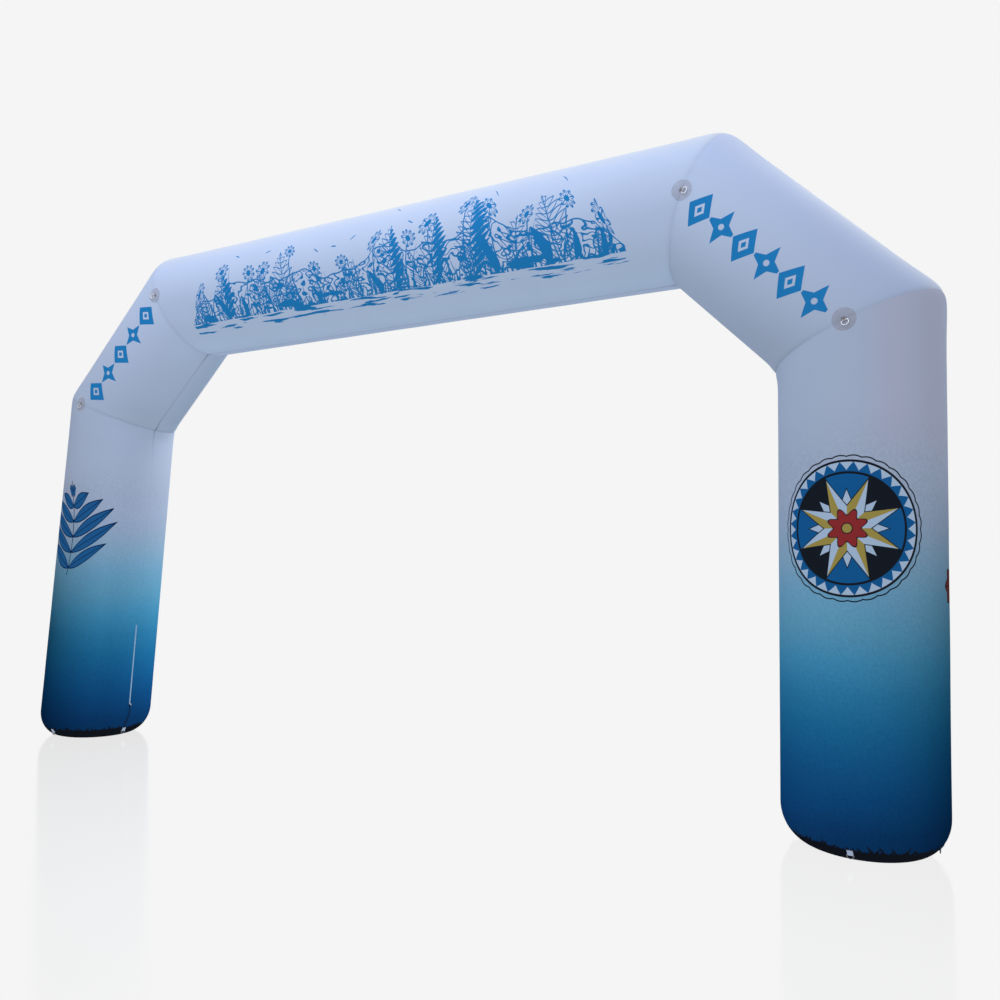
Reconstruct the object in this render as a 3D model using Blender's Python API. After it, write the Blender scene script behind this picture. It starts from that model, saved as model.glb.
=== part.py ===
"""Inflatable arch: a sealed air tube of five straight lengths that stands on two rounded feet.

Metres, +Z up. The arch spans along X, its front looks to -Y, and the origin lies on the
ground midway between the feet. The legs are set a little askew: the left foot stands
forward of the crossbar's plane and the right foot behind it by the same amount.
"""
from math import asin, cos, exp, pi, radians, sin, sqrt

import bmesh
import bpy
from mathutils import Vector

# The air tube
TUBE_RADIUS = 0.5
TUBE_SIDES = 48
SHOULDER_REACH = 1.005          # each shoulder climbs at 45 degrees by this much
LEG_JOINT_X = 3.59              # axis of a leg where it meets its shoulder
LEG_JOINT_Z = 3.25
FOOT_X = 3.555                  # axis of a leg at the ground
FOOT_Y = 0.168                  # how far a foot stands out of the crossbar's plane
TOP_JOINT_X = LEG_JOINT_X - SHOULDER_REACH
TOP_JOINT_Z = LEG_JOINT_Z + SHOULDER_REACH
SEAM_GAP = 0.0003               # between the flat ends of two tube lengths

# The cloth swells beside a mitre seam and is drawn in at the seam itself
SEAM_SWELL = 0.008
SEAM_SWELL_REACH = 0.20
SEAM_DRAW = 0.010
SEAM_DRAW_REACH = 0.035
END_ROW_DISTANCES = (0.0, 0.02, 0.05, 0.10, 0.18, 0.30)
MIDDLE_ROWS = 2

# The rounded foot
FOOT_ROUND_HEIGHT = 0.24
FOOT_ROUND_INSET = 0.20
FOOT_ROUND_ROWS = 6
SLOPE_STEP = 0.002              # height over which the rounding's slope is taken

# What lies on the cloth
SEAT_GAP = 0.0004
PATCH_RADIUS = 0.070
PATCH_THICKNESS = 0.0015
# How far each corner's patches sit inside the tube's mid-line, along the seam
PATCH_DROPS = {1: 0.018, 2: 0.018, 3: 0.036, 4: 0.0}
PATCH_RINGS = 3
PATCH_SPOKES = 20

STRAP_THICKNESS = 0.0015
BAR_CLEARANCE = 0.0004
STRAP_FOLD_REACH = 0.012        # length over which the folded layer comes down on the lower one
STRAP_STEPS = 8                 # spans along a strap's seat
STRAP_LOOP_STEPS = 6            # spans round a ring's bar
PATCH_STRAP_WIDTH = 0.024
PATCH_STRAP_LENGTH = 0.026
PATCH_BAR_SHIFT = 0.010         # the ring's bar lies this far beyond the seam
BASE_STRAP_WIDTH = 0.034
BASE_STRAP_TOP = 0.089          # height of the strap's sewn end
BASE_STRAP_BOTTOM = 0.060       # height at which it folds round the ring's bar

RING_WIRE_RADIUS = 0.0026
RING_SIDES = 6
RING_BOW_STEPS = 9
RING_BOW_DEPTH = 0.8            # depth of the bow over half the ring's width
PATCH_RING_WIDTH = 0.040        # between the wire's centre lines
PATCH_RING_DEPTH = 0.030
PATCH_RING_TILT = radians(14)
BASE_RING_WIDTH = 0.040
BASE_RING_DEPTH = 0.022

# Base rings stand a quarter turn apart round each foot, and each foot's set is turned a little
BASE_ANGLES = {"outer": 0.0, "front": 90.0, "inner": 180.0, "back": 270.0}
BASE_TURNS = {"leg_left": -1.5, "leg_right": 3.0}

# The deflation zip on the inner side of the left leg
ZIP_BOTTOM_Z = 0.315
ZIP_TOP_Z = 1.080
ZIP_ANGLE = radians(178.4)
ZIP_WIDTH = 0.013
ZIP_THICKNESS = 0.003
SLIDER_LENGTH = 0.018
SLIDER_WIDTH = 0.011
SLIDER_THICKNESS = 0.005
PULLER_LENGTH = 0.030
PULLER_WIDTH = 0.008
PULLER_THICKNESS = 0.002
PULLER_LEAN = radians(35)
PULLER_OVERLAP = 0.004          # the puller's end reaches this far over the slider's middle
CORD_RADIUS = 0.003
CORD_LEAD = 0.010               # straight length below the slider
CORD_POINT_STEP = 0.010
CURVE_SPANS = 20                # fine spans between two of a route's own points

# Principled values: colour, roughness, metallic
CLOTH_WHITE = ((0.62, 0.68, 0.80, 1.0), 0.55, 0.0)
CLOTH_BLUE = ((0.10, 0.30, 0.48, 1.0), 0.55, 0.0)
FILM_GREY = ((0.50, 0.50, 0.52, 1.0), 0.35, 0.0)
WEBBING_WHITE = ((0.80, 0.82, 0.86, 1.0), 0.8, 0.0)
STEEL = ((0.75, 0.75, 0.76, 1.0), 0.2, 1.0)
CORD_BLACK = ((0.02, 0.02, 0.025, 1.0), 0.8, 0.0)

Z_AXIS = Vector((0, 0, 1))
FRONT = Vector((0, -1, 0))


# ---------------------------------------------------------------- objects and materials

def clear_scene():
    for old in list(bpy.data.objects):
        bpy.data.objects.remove(old, do_unlink=True)


def material(name, colour, roughness, metallic):
    made = bpy.data.materials.get(name)
    if made is None:
        made = bpy.data.materials.new(name)
        made.use_nodes = True
        shader = made.node_tree.nodes["Principled BSDF"]
        shader.inputs["Base Color"].default_value = colour
        shader.inputs["Roughness"].default_value = roughness
        shader.inputs["Metallic"].default_value = metallic
    return made


def add_object(name, mesh, finish, smooth_angle=35):
    """Link a mesh as an object with its own material, its faces pointing out."""
    edit = bmesh.new()
    edit.from_mesh(mesh)
    bmesh.ops.recalc_face_normals(edit, faces=edit.faces)
    edit.to_mesh(mesh)
    edit.free()
    mesh.materials.append(material(name + "_finish", *finish))
    mesh.shade_smooth()
    mesh.set_sharp_from_angle(angle=radians(smooth_angle))
    made = bpy.data.objects.new(name, mesh)
    bpy.context.collection.objects.link(made)
    return made


def skin_rows(name, rows, close_ends=True):
    """A mesh from rows of points that each run once round the body."""
    count = len(rows[0])
    points = [point for row in rows for point in row]
    faces = []
    for lower in range(len(rows) - 1):
        for i in range(count):
            j = (i + 1) % count
            faces.append((lower * count + i, lower * count + j,
                          (lower + 1) * count + j, (lower + 1) * count + i))
    if close_ends:
        faces.append(tuple(reversed(range(count))))
        faces.append(tuple((len(rows) - 1) * count + i for i in range(count)))
    mesh = bpy.data.meshes.new(name)
    mesh.from_pydata(points, [], faces)
    return mesh


def skin_loop(name, rings):
    """A mesh from rings of points along a closed path."""
    count = len(rings[0])
    points = [point for ring in rings for point in ring]
    faces = []
    for k in range(len(rings)):
        nxt = (k + 1) % len(rings)
        for i in range(count):
            j = (i + 1) % count
            faces.append((k * count + i, k * count + j, nxt * count + j, nxt * count + i))
    mesh = bpy.data.meshes.new(name)
    mesh.from_pydata(points, [], faces)
    return mesh


def box_mesh(name, centre, along, across, normal, length, width, thickness):
    rows = []
    for end in (-0.5, 0.5):
        middle = centre + along * (end * length)
        rows.append([middle + across * (a * width) + normal * (b * thickness)
                     for a, b in ((-0.5, -0.5), (0.5, -0.5), (0.5, 0.5), (-0.5, 0.5))])
    return skin_rows(name, rows)


# ---------------------------------------------------------------- the line of the arch

def joint_points():
    """Points of the tube's centre line from the left foot to the right foot."""
    return [Vector((-FOOT_X, -FOOT_Y, 0)), Vector((-LEG_JOINT_X, 0, LEG_JOINT_Z)),
            Vector((-TOP_JOINT_X, 0, TOP_JOINT_Z)), Vector((TOP_JOINT_X, 0, TOP_JOINT_Z)),
            Vector((LEG_JOINT_X, 0, LEG_JOINT_Z)), Vector((FOOT_X, FOOT_Y, 0))]


POINTS = joint_points()
TUBE_NAMES = ("leg_left", "shoulder_left", "crossbar", "shoulder_right", "leg_right")
CORNER_NAMES = {1: "low_left", 2: "high_left", 3: "high_right", 4: "low_right"}


class Corner:
    """A mitre between two tube lengths: its plane and the directions in it."""

    def __init__(self, index):
        before = (POINTS[index] - POINTS[index - 1]).normalized()
        after = (POINTS[index + 1] - POINTS[index]).normalized()
        self.point = POINTS[index]
        self.along = (before + after).normalized()      # normal of the mitre plane
        self.outward = (before - after).normalized()    # away from the opening
        self.front = self.along.cross(self.outward).normalized()
        if self.front.y > 0:
            self.front = -self.front
        self.axes = (before, after)
        self.patch_drop = PATCH_DROPS[index]


CORNERS = {index: Corner(index) for index in CORNER_NAMES}


def seam_profile(distance):
    """Change of the tube's radius at a distance from a mitre seam."""
    swell = SEAM_SWELL * exp(-(distance / SEAM_SWELL_REACH) ** 2)
    draw = (SEAM_SWELL + SEAM_DRAW) * exp(-distance / SEAM_DRAW_REACH)
    return swell - draw


class Tube:
    """One straight tube length between two points of the centre line."""

    def __init__(self, index):
        self.name = TUBE_NAMES[index]
        self.start, self.end = POINTS[index], POINTS[index + 1]
        self.axis = (self.end - self.start).normalized()
        outward = Vector((self.axis.z, 0, -self.axis.x))
        if outward.dot(Vector((self.start.x + self.end.x, 0, 1))) < 0:
            outward = -outward
        self.outward = (outward - self.axis * outward.dot(self.axis)).normalized()
        self.front = self.axis.cross(self.outward)
        if self.front.y > 0:
            self.front = -self.front
        self.corners = [(CORNERS.get(index), 1), (CORNERS.get(index + 1), -1)]
        self.crowns = [self.crown(corner) for corner, _side in self.corners]

    def crown(self, corner):
        """Direction across this tube towards the outer side of a corner."""
        if corner is None:
            return None
        return (corner.outward - self.axis * corner.outward.dot(self.axis)).normalized()

    def radial(self, angle):
        return self.outward * cos(angle) + self.front * sin(angle)

    def end_distance(self, angle, corner, side):
        """Place along the axis where one generator meets the cut end."""
        radial = self.radial(angle)
        if corner is None:
            base = self.start + radial * TUBE_RADIUS
            return (FOOT_ROUND_HEIGHT - base.z) / self.axis.z
        facing = radial.dot(self.crown(corner))
        base = self.start + radial * (TUBE_RADIUS + facing ** 2 * seam_profile(0))
        target = side * SEAM_GAP / 2
        return (target - (base - corner.point).dot(corner.along)) / self.axis.dot(corner.along)

    def surface(self, angle, place, limits):
        """Point of the swollen skin on one generator."""
        radial = self.radial(angle)
        radius = TUBE_RADIUS
        for crown, limit in zip(self.crowns, limits):
            if crown is not None:
                radius += radial.dot(crown) ** 2 * seam_profile(abs(place - limit))
        return self.start + self.axis * place + radial * radius

    def rows(self):
        angles = [2 * pi * i / TUBE_SIDES for i in range(TUBE_SIDES)]
        limits = [[self.end_distance(a, corner, side) for corner, side in self.corners]
                  for a in angles]
        near = [(0, d) for d in END_ROW_DISTANCES]
        far = [(1, -d) for d in reversed(END_ROW_DISTANCES)]
        stations = [(None, (k + 1) / (MIDDLE_ROWS + 1)) for k in range(MIDDLE_ROWS)]
        if self.corners[0][0] is None:
            near = near[:1]
        if self.corners[1][0] is None:
            far = far[-1:]
        rows = []
        for which, value in near + stations + far:
            row = []
            for angle, (low, high) in zip(angles, limits):
                if which is None:
                    first, last = low + near[-1][1], high + far[0][1]
                    place = first + (last - first) * value
                else:
                    place = (low, high)[which] + value
                row.append(self.surface(angle, place, (low, high)))
            rows.append(row)
        return rows


TUBES = {tube.name: tube for tube in (Tube(i) for i in range(len(TUBE_NAMES)))}


class Foot:
    """The rounded lower end of a leg, closed by a flat base."""

    def __init__(self, tube):
        self.tube = tube
        self.ground = tube.start if tube.corners[0][0] is None else tube.end

    def centre(self, height):
        axis = self.tube.axis
        return self.ground + axis * (height / axis.z)

    def rim(self, angle):
        """Horizontal arm from the axis to the skin where the rounding starts."""
        place = self.tube.end_distance(angle, None, 1)
        point = self.tube.start + self.tube.axis * place + self.tube.radial(angle) * TUBE_RADIUS
        return point - self.centre(FOOT_ROUND_HEIGHT)

    def surface(self, angle, turn):
        """Point of the rounding; turn runs from 0 at its top to pi/2 at the ground."""
        height = FOOT_ROUND_HEIGHT * (1 - sin(turn))
        inset = FOOT_ROUND_INSET * (1 - cos(turn))
        return self.centre(height) + self.rim(angle) * (1 - inset / TUBE_RADIUS)

    @staticmethod
    def turn_at(height):
        """Turn of the rounding at a height over the ground."""
        return asin(1 - height / FOOT_ROUND_HEIGHT)

    def skin(self, angle, height):
        """Point of the leg's skin at any height, and the direction out of it."""
        radial = self.tube.radial(angle)
        if height < FOOT_ROUND_HEIGHT:
            point = self.surface(angle, self.turn_at(height))
            below = self.surface(angle, self.turn_at(max(height - SLOPE_STEP, 0)))
            slope = (point - below).normalized()
            out = (radial - slope * radial.dot(slope)).normalized()
            return point, out
        base = self.tube.start + radial * TUBE_RADIUS
        return base + self.tube.axis * ((height - base.z) / self.tube.axis.z), radial

    def rows(self):
        angles = [2 * pi * i / TUBE_SIDES for i in range(TUBE_SIDES)]
        turns = [pi / 2 * (1 - k / FOOT_ROUND_ROWS) for k in range(FOOT_ROUND_ROWS)]
        return [[self.surface(angle, turn) for angle in angles] for turn in turns]


def build_tube(tube):
    rows = tube.rows()
    finish = CLOTH_WHITE
    if tube.name.startswith("leg"):
        foot_rows = Foot(tube).rows()
        if tube.corners[0][0] is None:
            rows = foot_rows + rows
        else:
            rows = rows + foot_rows[::-1]
        finish = CLOTH_BLUE
    mesh = skin_rows(tube.name, rows)
    return add_object(tube.name, mesh, finish)


# ---------------------------------------------------------------- patches on the mitre seams

class PatchSeat:
    """Surface of the tube round a patch, over the plane that touches the tube there."""

    def __init__(self, corner, side):
        self.corner = corner
        self.normal = corner.front * side
        self.seam = corner.outward
        self.along = corner.along if corner.along.z < 0 else -corner.along
        self.drop = -corner.patch_drop
        # The strap and the ring lie square to the skin at the patch's middle
        rise = self.seam - corner.axes[0] * self.seam.dot(corner.axes[0])
        slope = -self.drop * rise.length_squared / self.height(self.drop, 0)
        self.across = (self.seam + self.normal * slope).normalized()
        self.upright = self.along.cross(self.across)
        if self.upright.dot(self.normal) < 0:
            self.upright = -self.upright

    def height(self, seam_offset, along_offset):
        """Height of the tube's skin over the centre line's plane."""
        flat = self.seam * seam_offset + self.along * along_offset
        downstream = flat.dot(self.corner.along) > 0
        axis = self.corner.axes[1 if downstream else 0]
        across = flat - axis * flat.dot(axis)
        return sqrt(TUBE_RADIUS ** 2 - across.length_squared)

    def point(self, seam_offset, along_offset, lift):
        seam_offset += self.drop
        height = self.height(seam_offset, along_offset) + lift
        return (self.corner.point + self.seam * seam_offset + self.along * along_offset
                + self.normal * height)


def build_patch(name, seat):
    """A thin round disc that follows the tube on both sides of the seam."""
    points, faces = [], []
    layers = (SEAT_GAP, SEAT_GAP + PATCH_THICKNESS)
    for lift in layers:
        points.append(seat.point(0, 0, lift))
        for ring in range(1, PATCH_RINGS + 1):
            radius = PATCH_RADIUS * ring / PATCH_RINGS
            for k in range(PATCH_SPOKES):
                turn = 2 * pi * k / PATCH_SPOKES
                points.append(seat.point(radius * cos(turn), radius * sin(turn), lift))
    layer_size = 1 + PATCH_RINGS * PATCH_SPOKES
    for layer in (0, 1):
        base = layer * layer_size
        for k in range(PATCH_SPOKES):
            j = (k + 1) % PATCH_SPOKES
            faces.append((base, base + 1 + k, base + 1 + j))
            for ring in range(PATCH_RINGS - 1):
                inner = base + 1 + ring * PATCH_SPOKES
                outer = inner + PATCH_SPOKES
                faces.append((inner + k, outer + k, outer + j, inner + j))
    rim = 1 + (PATCH_RINGS - 1) * PATCH_SPOKES
    for k in range(PATCH_SPOKES):
        j = (k + 1) % PATCH_SPOKES
        faces.append((rim + k, rim + j, layer_size + rim + j, layer_size + rim + k))
    mesh = bpy.data.meshes.new(name)
    mesh.from_pydata(points, [], faces)
    return add_object(name, mesh, FILM_GREY)


# ---------------------------------------------------------------- straps and rings

def smooth_step(value):
    value = min(max(value, 0.0), 1.0)
    return value * value * (3 - 2 * value)


def fold_path(seat_line, wire_radius):
    """Centre line of a strap in its own plane: down the seat, round the bar, back on itself.

    seat_line lists (point, normal) pairs along the seat, from the sewn end to the bar.
    Returns the path and the bar's centre.
    """
    lift = SEAT_GAP + STRAP_THICKNESS / 2
    lower = [point + normal * lift for point, normal in seat_line]
    last_point, last_normal = seat_line[-1]
    loop_radius = wire_radius + BAR_CLEARANCE + STRAP_THICKNESS / 2
    bar = lower[-1] + last_normal * loop_radius
    forward = (lower[-1] - lower[-2]).normalized()
    forward = (forward - last_normal * forward.dot(last_normal)).normalized()
    turns = [pi * k / STRAP_LOOP_STEPS for k in range(1, STRAP_LOOP_STEPS + 1)]
    loop = [bar + forward * (loop_radius * sin(turn)) - last_normal * (loop_radius * cos(turn))
            for turn in turns]
    layer_gap = STRAP_THICKNESS + SEAM_GAP
    upper = []
    for place, (point, normal) in zip(reversed(lower), reversed(seat_line)):
        away = (place - lower[-1]).length
        if away < 1e-6:
            continue
        rise = 2 * loop_radius + (layer_gap - 2 * loop_radius) * smooth_step(
            away / STRAP_FOLD_REACH)
        upper.append(place + normal * rise)
    return lower + loop + upper[:-1], bar


def thick_path(path, across, thickness):
    """Closed outline of a path of given thickness, in the plane normal to across."""
    sides = ([], [])
    for i, point in enumerate(path):
        before = path[max(i - 1, 0)]
        after = path[min(i + 1, len(path) - 1)]
        normal = (after - before).normalized().cross(across)
        sides[0].append(point + normal * (thickness / 2))
        sides[1].append(point - normal * (thickness / 2))
    return sides[0] + sides[1][::-1]


def build_strap(name, seat_line, across, width, finish):
    path, bar = fold_path(seat_line, RING_WIRE_RADIUS)
    outline = thick_path(path, across, STRAP_THICKNESS)
    rows = [[point + across * (end * width) for point in outline] for end in (-0.5, 0.5)]
    add_object(name, skin_rows(name, rows), finish)
    return bar


def build_ring(name, bar, across, hang, width, depth):
    """A D-shaped ring: a straight bar, two short sides and a round bow."""
    radius = width / 2
    bow = radius * RING_BOW_DEPTH
    side = depth - bow
    path = [bar - across * radius, bar + across * radius]
    for k in range(RING_BOW_STEPS):
        turn = pi * k / (RING_BOW_STEPS - 1)
        path.append(bar + across * (radius * cos(turn))
                    + hang * (side + bow * sin(turn)))
    normal = across.cross(hang).normalized()
    rings = []
    for i, point in enumerate(path):
        before, after = path[i - 1], path[(i + 1) % len(path)]
        first = (point - before).normalized()
        second = (after - point).normalized()
        forward = (first + second).normalized()
        inward = normal.cross(forward)
        stretch = 1 / max(first.dot(forward), 0.5)
        rings.append([point + (inward * (cos(2 * pi * k / RING_SIDES) * stretch)
                               + normal * sin(2 * pi * k / RING_SIDES)) * RING_WIRE_RADIUS
                      for k in range(RING_SIDES)])
    return add_object(name, skin_loop(name, rings), STEEL)


def build_patch_hardware(corner_index, side_name, side):
    """Patch, strap and ring on one side of one mitre seam."""
    suffix = f"{side_name}_{CORNER_NAMES[corner_index]}"
    seat = PatchSeat(CORNERS[corner_index], side)
    build_patch("patch_" + suffix, seat)
    seat_line = []
    for k in range(STRAP_STEPS + 1):
        along = PATCH_BAR_SHIFT - PATCH_STRAP_LENGTH * (1 - k / STRAP_STEPS)
        point = seat.point(0, along, SEAT_GAP + PATCH_THICKNESS)
        seat_line.append((point, seat.upright))
    bar = build_strap("strap_" + suffix, seat_line, seat.across, PATCH_STRAP_WIDTH, FILM_GREY)
    hang = seat.along * cos(PATCH_RING_TILT) + seat.upright * sin(PATCH_RING_TILT)
    build_ring("ring_" + suffix, bar, seat.across, hang, PATCH_RING_WIDTH, PATCH_RING_DEPTH)


def build_base_hardware(leg_name, place_name):
    """Strap and ring low on one side of a foot."""
    suffix = f"{leg_name.replace('leg_', '')}_{place_name}"
    foot = Foot(TUBES[leg_name])
    angle = radians(BASE_ANGLES[place_name] + BASE_TURNS[leg_name])
    radial = foot.rim(angle)
    radial = Vector((radial.x, radial.y, 0)).normalized()
    across = Z_AXIS.cross(radial)
    heights = [BASE_STRAP_TOP + (BASE_STRAP_BOTTOM - BASE_STRAP_TOP) * k / STRAP_STEPS
               for k in range(STRAP_STEPS + 1)]
    middle = foot.skin(angle, heights[STRAP_STEPS // 2])[0]
    seat_line = []
    for height in heights:
        point, normal = foot.skin(angle, height)
        point -= across * (point - middle).dot(across)
        normal = (normal - across * normal.dot(across)).normalized()
        seat_line.append((point, normal))
    bar = build_strap("base_strap_" + suffix, seat_line, across, BASE_STRAP_WIDTH, WEBBING_WHITE)
    build_ring("base_ring_" + suffix, bar, across, -Z_AXIS, BASE_RING_WIDTH, BASE_RING_DEPTH)


# ---------------------------------------------------------------- zip and its cord

def build_zip():
    """White zip down the inner side of the left leg, its slider, puller and pull cord."""
    foot = Foot(TUBES["leg_left"])
    low, normal = foot.skin(ZIP_ANGLE, ZIP_BOTTOM_Z)
    high, _same = foot.skin(ZIP_ANGLE, ZIP_TOP_Z)
    along = (low - high).normalized()
    across = along.cross(normal).normalized()
    if across.dot(FRONT) < 0:
        across = -across

    lift = SEAT_GAP + ZIP_THICKNESS / 2
    middle = (low + high) / 2 + normal * lift
    chain = box_mesh("zip_chain", middle, along, across, normal,
                     (high - low).length, ZIP_WIDTH, ZIP_THICKNESS)
    add_object("zip_chain", chain, WEBBING_WHITE)

    lift = SEAT_GAP + ZIP_THICKNESS + SEAM_GAP + SLIDER_THICKNESS / 2
    slider_centre = low - along * (SLIDER_LENGTH / 2) + normal * lift
    slider = box_mesh("zip_slider", slider_centre, along, across, normal,
                      SLIDER_LENGTH, SLIDER_WIDTH, SLIDER_THICKNESS)
    add_object("zip_slider", slider, STEEL)

    lean = along * cos(PULLER_LEAN) - across * sin(PULLER_LEAN)
    beside = along * sin(PULLER_LEAN) + across * cos(PULLER_LEAN)
    puller_lift = SLIDER_THICKNESS / 2 + SEAM_GAP + PULLER_THICKNESS / 2
    puller_centre = slider_centre + normal * puller_lift + lean * (PULLER_LENGTH / 2 - PULLER_OVERLAP)
    puller = box_mesh("zip_puller", puller_centre, lean, beside, normal,
                      PULLER_LENGTH, PULLER_WIDTH, PULLER_THICKNESS)
    add_object("zip_puller", puller, STEEL)
    knot = slider_centre + along * (SLIDER_LENGTH / 2 + SEAM_GAP)
    build_cord(foot, [knot, knot + along * CORD_LEAD])


# Height, angle round the leg in degrees and lift off the cloth of the cord's hand-set points
CORD_ROUTE = (
    (0.265, 178.9, 0.0095),
    (0.240, 178.7, 0.0105),
    (0.212, 178.2, 0.0100),
    (0.174, 177.3, 0.0085),
    (0.138, 176.6, 0.0065),
    (0.098, 177.2, 0.0042),
)


def smooth_points(controls, step):
    """Evenly spaced points of a smooth curve through the control points."""
    ends = [controls[0] * 2 - controls[1]] + controls + [controls[-1] * 2 - controls[-2]]
    dense = []
    for a, b, c, d in zip(ends, ends[1:], ends[2:], ends[3:]):
        for k in range(CURVE_SPANS):
            t = k / CURVE_SPANS
            dense.append(0.5 * (2 * b + (c - a) * t + (2 * a - 5 * b + 4 * c - d) * t * t
                                + (3 * b - a - 3 * c + d) * t ** 3))
    dense.append(controls[-1])
    total = sum((q - p).length for p, q in zip(dense, dense[1:]))
    spans = max(round(total / step), 2)
    points, walked, wanted = [dense[0]], 0.0, total / spans
    for p, q in zip(dense, dense[1:]):
        length = (q - p).length
        while walked + length >= wanted and len(points) < spans:
            points.append(p.lerp(q, (wanted - walked) / length))
            wanted += total / spans
        walked += length
    return points + [dense[-1]]


def build_cord(foot, lead):
    controls = list(lead)
    for height, degrees, lift in CORD_ROUTE:
        point, normal = foot.skin(radians(degrees), height)
        controls.append(point + normal * lift)
    points = smooth_points(controls, CORD_POINT_STEP)
    curve = bpy.data.curves.new("pull_cord", "CURVE")
    curve.dimensions = "3D"
    curve.bevel_depth = CORD_RADIUS
    curve.bevel_resolution = 2
    curve.use_fill_caps = True
    spline = curve.splines.new("POLY")
    spline.points.add(len(points) - 1)
    for target, point in zip(spline.points, points):
        target.co = (*point, 1.0)
    curve.materials.append(material("pull_cord_finish", *CORD_BLACK))
    made = bpy.data.objects.new("pull_cord", curve)
    bpy.context.collection.objects.link(made)


def main():
    clear_scene()
    for tube in TUBES.values():
        build_tube(tube)
    for corner_index in CORNER_NAMES:
        for side_name, side in (("front", 1), ("back", -1)):
            build_patch_hardware(corner_index, side_name, side)
    for leg_name in ("leg_left", "leg_right"):
        for place_name in BASE_ANGLES:
            build_base_hardware(leg_name, place_name)
    build_zip()


main()
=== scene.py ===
"""Looks of a free-standing inflatable arch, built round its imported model.

Metres, +Z up. The arch spans along X, its front looks to -Y, and the origin lies on the
ground midway between the feet.
"""
import logging
from collections.abc import Callable
from dataclasses import dataclass
from enum import Enum
from functools import reduce
from itertools import accumulate
from math import asin, cos, hypot, pi, radians, sin, sqrt

import bmesh
import bpy
from bpy.types import Material, Mesh, Node, NodeTree, Object
from mathutils import Matrix, Vector
from mathutils.bvhtree import BVHTree


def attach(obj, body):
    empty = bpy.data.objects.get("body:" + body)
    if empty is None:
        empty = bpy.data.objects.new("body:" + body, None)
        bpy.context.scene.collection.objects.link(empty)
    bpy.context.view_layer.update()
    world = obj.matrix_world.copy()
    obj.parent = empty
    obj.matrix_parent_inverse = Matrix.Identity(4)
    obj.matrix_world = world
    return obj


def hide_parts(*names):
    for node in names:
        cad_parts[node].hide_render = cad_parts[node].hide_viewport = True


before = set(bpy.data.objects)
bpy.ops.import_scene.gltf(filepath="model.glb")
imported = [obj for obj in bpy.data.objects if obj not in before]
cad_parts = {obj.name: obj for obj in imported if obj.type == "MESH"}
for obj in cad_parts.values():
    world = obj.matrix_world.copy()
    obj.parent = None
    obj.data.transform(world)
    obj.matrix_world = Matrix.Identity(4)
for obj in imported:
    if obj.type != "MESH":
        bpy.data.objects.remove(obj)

LOG = logging.getLogger("arch")
BODY = "root"
CLOTH_UV = "cloth"
SEAM_ATTRIBUTE = "seam_distance"
CLOSING_ATTRIBUTE = "closing_distance"
Triple = tuple[float, float, float]
Colour = Triple
Outline = list[tuple[float, float]]
Path = list[Vector]
Seat = list[tuple[Vector, Vector]]
WHITE = (1.0, 1.0, 1.0)


# -------------------- node trees

def operator(operation: str, turned: bool = False) -> Callable[..., "Socket"]:
    """A Python operator that adds a Math node; turned takes its two values in reverse."""

    def apply(socket: "Socket", *others: "Socket | float") -> "Socket":
        """Add the node to the socket's tree."""
        values = (socket, *others)
        return socket.net.math(operation, *(reversed(values) if turned else values))

    return apply


class Socket:
    """One output of a node tree. Arithmetic on it adds Math nodes to its tree."""

    def __init__(self, net: "NodeNet", port: bpy.types.NodeSocket) -> None:
        """Wrap a node's output socket."""
        self.net = net
        self.port = port

    def __neg__(self) -> "Socket":
        """Negative."""
        return self * -1.0

    __add__ = __radd__ = operator("ADD")
    __sub__ = operator("SUBTRACT")
    __rsub__ = operator("SUBTRACT", turned=True)
    __mul__ = __rmul__ = operator("MULTIPLY")
    __truediv__ = operator("DIVIDE")
    __pow__ = operator("POWER")
    __abs__ = operator("ABSOLUTE")
    sine = operator("SINE")
    cosine = operator("COSINE")
    __lt__ = operator("LESS_THAN")
    __gt__ = operator("GREATER_THAN")


Value = Socket | float


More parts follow.
